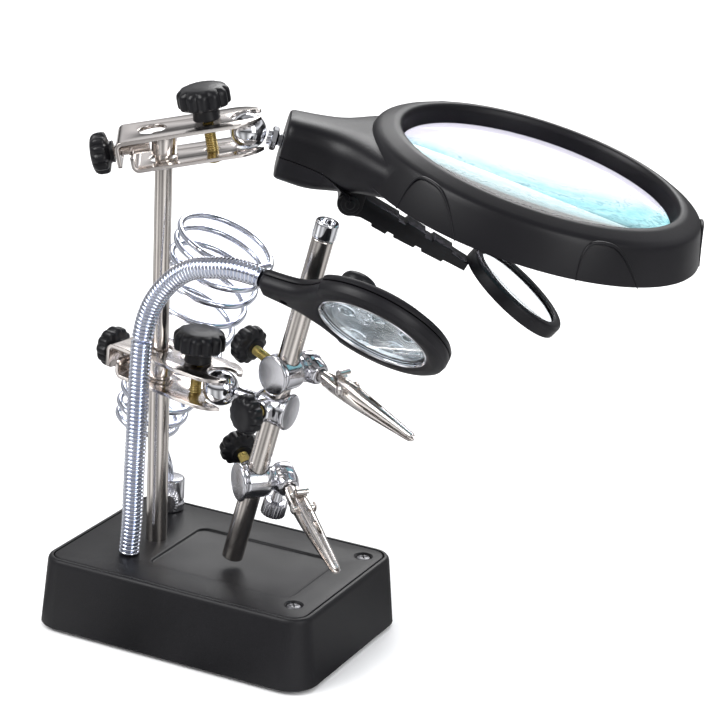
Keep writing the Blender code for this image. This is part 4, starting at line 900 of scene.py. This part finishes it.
def make_lamp():
    piece("flex_neck_lower", ribbed(NECK_PATH[:NECK_SPLIT + 1], NECK_RADIUS), IDENTITY, WIRE, "base",
          ["gooseneck_lower"])
    split, following = (Vector(point) for point in NECK_PATH[NECK_SPLIT:NECK_SPLIT + 2])
    inward = Vector(LAMP_X).normalized()
    neck = Vector(LAMP_NECK)
    upper = [split + (following - split).normalized() * 0.9, *NECK_PATH[NECK_SPLIT + 1:], neck - inward * 4.0,
             neck - inward * 0.8]
    piece("flex_neck_upper", ribbed(upper, NECK_RADIUS), IDENTITY, WIRE, "gooseneck", ["gooseneck_upper"])
    lamp = axes(LAMP_NECK, LAMP_X, LAMP_BACK)
    centre, radius = 39.8, 24.6
    side = smooth_path([(0, 3.7, 0), (1.5, 4.5, 0), (8.0, 5.6, 0), (14.0, 7.6, 0), (19.0, 11.6, 0),
                        (23.6, 17.0, 0)], 5)
    plan = ([(p.x, p.y) for p in side] + arc((centre, 0), radius, 130, -130, 96)
            + [(p.x, -p.y) for p in reversed(side)])
    window = 17.8

    def outline(inset, z):
        """The lamp's plan drawn in towards its middle line, so that both shells can be rounded."""
        ring = []
        for x, y in plan:
            if x > 18:
                away = Vector((x - centre, y))
                away *= 1 - inset / radius
                ring.append((centre + away.x, away.y, z))
            else:
                ring.append((x + inset * 0.4 * (1 - x / 18), y * (1 - inset / 6.0 * (1 - x / 40)), z))
        return ring

    rings = [outline(inset, z) for inset, z in ((2.4, -0.2), (0.15, -0.2), (0.0, -0.5), (0.0, -1.8),
                                                (0.5, -3.2), (1.5, -3.9), (3.0, -4.2))]
    face = piece("lamp_front", skin(rings), lamp, BLACK, "lamp", ["lamp_face"])
    dish = lathe([(0, 4), (window, 4), (window, -3.2), (window + 1.0, -3.9), (window + 3.4, -4.6), (0, -4.6)],
                 96, soft=0.2)
    at = axes((centre, 0, 0), X, Z, lamp)
    boolean(face, [(dish, at), (cylinder(1.3, -6, 2), axes((8.5, 1.6, -2.8), X, Z, lamp))])
    lip = lathe([(17.75, -2.2), (18.5, -2.2), (18.6, -3.9), (18.2, -4.15), (17.75, -3.7)], 96, True, 0.15)
    piece("lamp_window_lip", lip, at, CHROME, "lamp")
    rings = [outline(inset, z) for inset, z in ((2.4, 0.2), (0.15, 0.2), (0.0, 0.45), (0.1, 1.5), (0.7, 2.3),
                                                (2.2, 2.7))]
    back = piece("lamp_rear", skin(rings), lamp, BLACK, "lamp", ["lamp_back"])
    dome = lathe([(0, 5.7), (14, 5.3), (19.5, 4.2), (23.0, 2.4), (22.0, 1.0), (0, 1.0)], 96, soft=2.5)
    boolean(back, [(dome, at)], "UNION")
    well = lathe([(0, 12), (6.3, 12), (6.2, 0.9), (0, 0.9)], 64, soft=0)
    button_frame = axes((33.0, -13.0, 0), X, Z, lamp)
    boolean(back, [(well, button_frame)])
    button = lathe([(0, 7.9), (3.4, 7.6), (5.0, 6.9), (5.8, 5.6), (5.8, 2.8), (0, 2.8)], 64, soft=0.8)
    piece("lamp_push_button", button, button_frame, KNOB, "lamp_button", ["lamp_button"])
    reflector = lathe([(0, -0.3), (17.4, -0.3), (17.45, -2.0), (16.9, -2.1), (15.5, -1.3), (0, -1.2)], 96,
                      soft=0.3)
    piece("lamp_reflector_dish", reflector, at, REFLECTOR, "lamp", ["led_board"])
    pane = lathe([(0, -3.0), (17.4, -2.7), (17.45, -3.1), (0, -3.5)], 96, soft=0)
    piece("lamp_pane", pane, at, CLEAR, "lamp", ["lamp_window"], 30)
    for index, (x, y) in enumerate(((30.7, -5.8), (31.3, 11.5), (42.0, -9.7), (45.6, 8.7), (51.6, -4.0))):
        led = lathe([(0, -2.72), (0.7, -2.66), (1.4, -2.45), (1.9, -2.1), (2.1, -1.7), (2.1, -1.3),
                     (2.6, -1.3), (2.6, -0.9), (0, -0.9)], 40, soft=0.1)
        spot = axes((x, y, 0), X, Z, lamp)
        piece(f"lamp_led_{index + 1}", led, spot, CLEAR, "lamp")
        cup = lathe([(2.7, -1.15), (3.3, -1.55), (3.5, -1.2), (2.7, -0.9)], 40, True, 0.1)
        piece(f"lamp_led_cup_{index + 1}", cup, spot, CHROME, "lamp")


# Soldering iron holder -----------------------------------------------------------------------

TURNS, STEPS_PER_TURN = 11, 12
COIL_LOW_RADIUS, COIL_TOP_RADIUS, WIRE_RADIUS = 8.5, 17.2, 1.1


def make_iron_holder():
    boss = Vector((-35.2, 25.7, 0))
    seat = axes(boss + Z * 25.5)
    body = lathe([(0, 12), (1.6, 12), (4.4, 12), (5.0, 11.4), (5.0, 4.2), (4.6, 3.8), (4.6, 3.2), (5.0, 2.8),
                  (5.0, 0.1), (0, 0.1)], 64, soft=0.3)
    piece("coil_socket", body, seat, CASTING, "base", ["holder_boss"])
    thumb = lathe([(0, 13.0), (3.3, 13.0), (4.0, 12.5), (4.0, 7.6), (3.4, 7.0), (1.9, 6.9), (1.7, 4.6),
                   (0, 4.6)], 120, soft=0.3, lobes=20, depth=0.16, full=4.0)
    piece("fluted_socket_screw", thumb, axes((0, 0, 7), Z, (0.43, -0.9, 0), seat), CASTING,
          "boss_thumbscrew", ["boss_thumbscrew"])
    wire = [(*boss.xy, 28.5), (*boss.xy, 38.0), (boss.x - 0.4, boss.y - 0.3, 42.0),
            (boss.x - 1.6, boss.y - 0.4, 45.6), (boss.x - 3.6, boss.y + 0.6, 48.4)]
    start, end = Vector((-48.6, 28.6, 53.0)), Vector((-16.6, 29.6, 127.0))
    across = Y.cross((end - start).normalized()).normalized()
    for i in range(TURNS * STEPS_PER_TURN + 1):
        part = i / (TURNS * STEPS_PER_TURN)
        angle = 2 * math.pi * i / STEPS_PER_TURN
        reach = COIL_LOW_RADIUS + (COIL_TOP_RADIUS - COIL_LOW_RADIUS) * part ** 0.55
        climb = part - 0.07 * math.sin(2 * math.pi * part)
        wire.append(start + (end - start) * climb + (across * math.cos(angle) + Y * math.sin(angle)) * reach)
    spring = sweep(smooth_path(wire, 4), WIRE_RADIUS, 14)
    piece("iron_spring", spring, IDENTITY, WIRE, "iron_coil", ["iron_coil"])


make_base()
make_pole()
make_arm("upper", UPPER_ARM, UPPER_ARM_Z, POLE_TOP_RADIUS, UPPER_BALL, 15.2, (-3.0, -0.9))
make_arm("lower", LOWER_ARM, LOWER_ARM_Z, POLE_RADIUS, LOWER_BALL, 16.0, (-0.9, 0.0))
make_head()
make_rod()
make_holders()
make_lamp()
make_iron_holder()

# The CAD nodes that stay only need finishes.
for node, look in (("bottom_cover", BASE_BLACK), ("battery_door", BASE_BLACK), ("rubber_pad", RUBBER),
                   ("ballast_block", IRON), *((f"battery_cell_{n}", CELL) for n in (1, 2, 3))):
    for material_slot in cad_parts[node].material_slots:
        material_slot.material = look[0]


# Stage: pale floor, soft lights, camera ------------------------------------------------------

FLOOR_RADIUS = 8000
# Brightness round the floor, as mirror images of it show it: share of a turn, then value.
CARDS = [(0.0, 0.5), (0.06, 0.08), (0.12, 0.75), (0.18, 0.12), (0.24, 0.45), (0.30, 0.10), (0.38, 0.80),
         (0.46, 0.10), (0.55, 0.5), (0.64, 0.08), (0.70, 0.6), (0.76, 0.10), (0.82, 0.30), (0.88, 0.85),
         (0.93, 0.12), (1.0, 0.5)]
# The same for the sky, from the horizon up.
SKY = [(0.0, 0.30), (0.06, 0.05), (0.16, 0.10), (0.28, 0.55), (0.42, 0.90), (0.55, 0.30), (0.70, 0.12),
       (0.85, 0.45), (1.0, 0.20)]


def make_floor():
    """A plain white floor; only mirror images of it carry the dark and pale cards of a studio."""
    n = Nodes("pale_floor", 0.7)
    cloud = n.noise(3, 2)
    white = n.ramp(cloud, [(0.3, (0.93, 0.93, 0.94)), (0.7, (0.96, 0.96, 0.965))])
    round_about = n.node("TexGradient", gradient_type="RADIAL")
    n.link(n.where, round_about, "Vector")
    cards = n.ramp(round_about.outputs["Fac"], [(position, (value,) * 3) for position, value in CARDS])
    n.use(in_mirrors(n.tree, white, cards))
    bm = bmesh.new()
    bmesh.ops.create_circle(bm, cap_ends=True, segments=96, radius=FLOOR_RADIUS)
    floor = piece("studio_floor", bm, IDENTITY, (n.material, ""), None)


def make_light(name, place, aim, size, power):
    """A soft rectangular lamp; its place and size are in metres."""
    light = bpy.data.lights.new(name, "AREA")
    light.shape, light.size, light.size_y, light.energy = "RECTANGLE", *size, power
    obj = bpy.data.objects.new(name, light)
    bpy.context.scene.collection.objects.link(obj)
    direction = Vector(aim) - Vector(place)
    obj.matrix_world = Matrix.Translation(place) @ direction.to_track_quat("-Z", "Y").to_matrix().to_4x4()


def make_world():
    """An even pale sky; its mirror image is darker and banded, for the plated parts."""
    world = bpy.data.worlds.new("studio")
    world.use_nodes = True
    nodes, links = world.node_tree.nodes, world.node_tree.links
    where, split = nodes.new("ShaderNodeTexCoord"), nodes.new("ShaderNodeSeparateXYZ")
    ramp = nodes.new("ShaderNodeValToRGB")
    links.new(where.outputs["Generated"], split.inputs[0])
    links.new(split.outputs["Z"], ramp.inputs["Fac"])
    set_stops(ramp, [(position, (value, value, value * 1.02)) for position, value in SKY])
    sky = in_mirrors(world.node_tree, (0.95, 0.95, 0.96, 1), ramp.outputs["Color"])
    links.new(sky, nodes["Background"].inputs["Color"])
    nodes["Background"].inputs["Strength"].default_value = 1.0
    bpy.context.scene.world = world


def make_camera():
    azimuth, elevation, roll = (math.radians(a) for a in (25.949, 18.871, 2.747))
    right = Vector((math.cos(azimuth), math.sin(azimuth), 0))
    back = Vector((math.sin(azimuth) * math.cos(elevation), -math.cos(azimuth) * math.cos(elevation),
                   math.sin(elevation)))
    up = back.cross(right)
    x = right * math.cos(roll) + up * math.sin(roll)
    y = up * math.cos(roll) - right * math.sin(roll)
    data = bpy.data.cameras.new("camera")
    data.sensor_width, data.lens, data.clip_start = 36, 121.75, 0.01
    camera = bpy.data.objects.new("camera", data)
    bpy.context.scene.collection.objects.link(camera)
    matrix = Matrix((x, y, back)).transposed().to_4x4()
    matrix.translation = (0.3712, -0.6619, 0.3562)
    camera.matrix_world = matrix
    bpy.context.scene.camera = camera


make_floor()
make_world()
make_light("key", (-0.55, -0.75, 1.05), (0, 0, 0.08), (0.7, 0.7), 12)
make_light("fill", (1.1, -0.5, 0.6), (0, 0, 0.08), (0.5, 0.9), 6)
make_light("rim", (-0.2, 1.0, 0.9), (0, 0, 0.1), (0.9, 0.5), 9)
make_camera()
bpy.context.scene.view_settings.view_transform = "Standard"
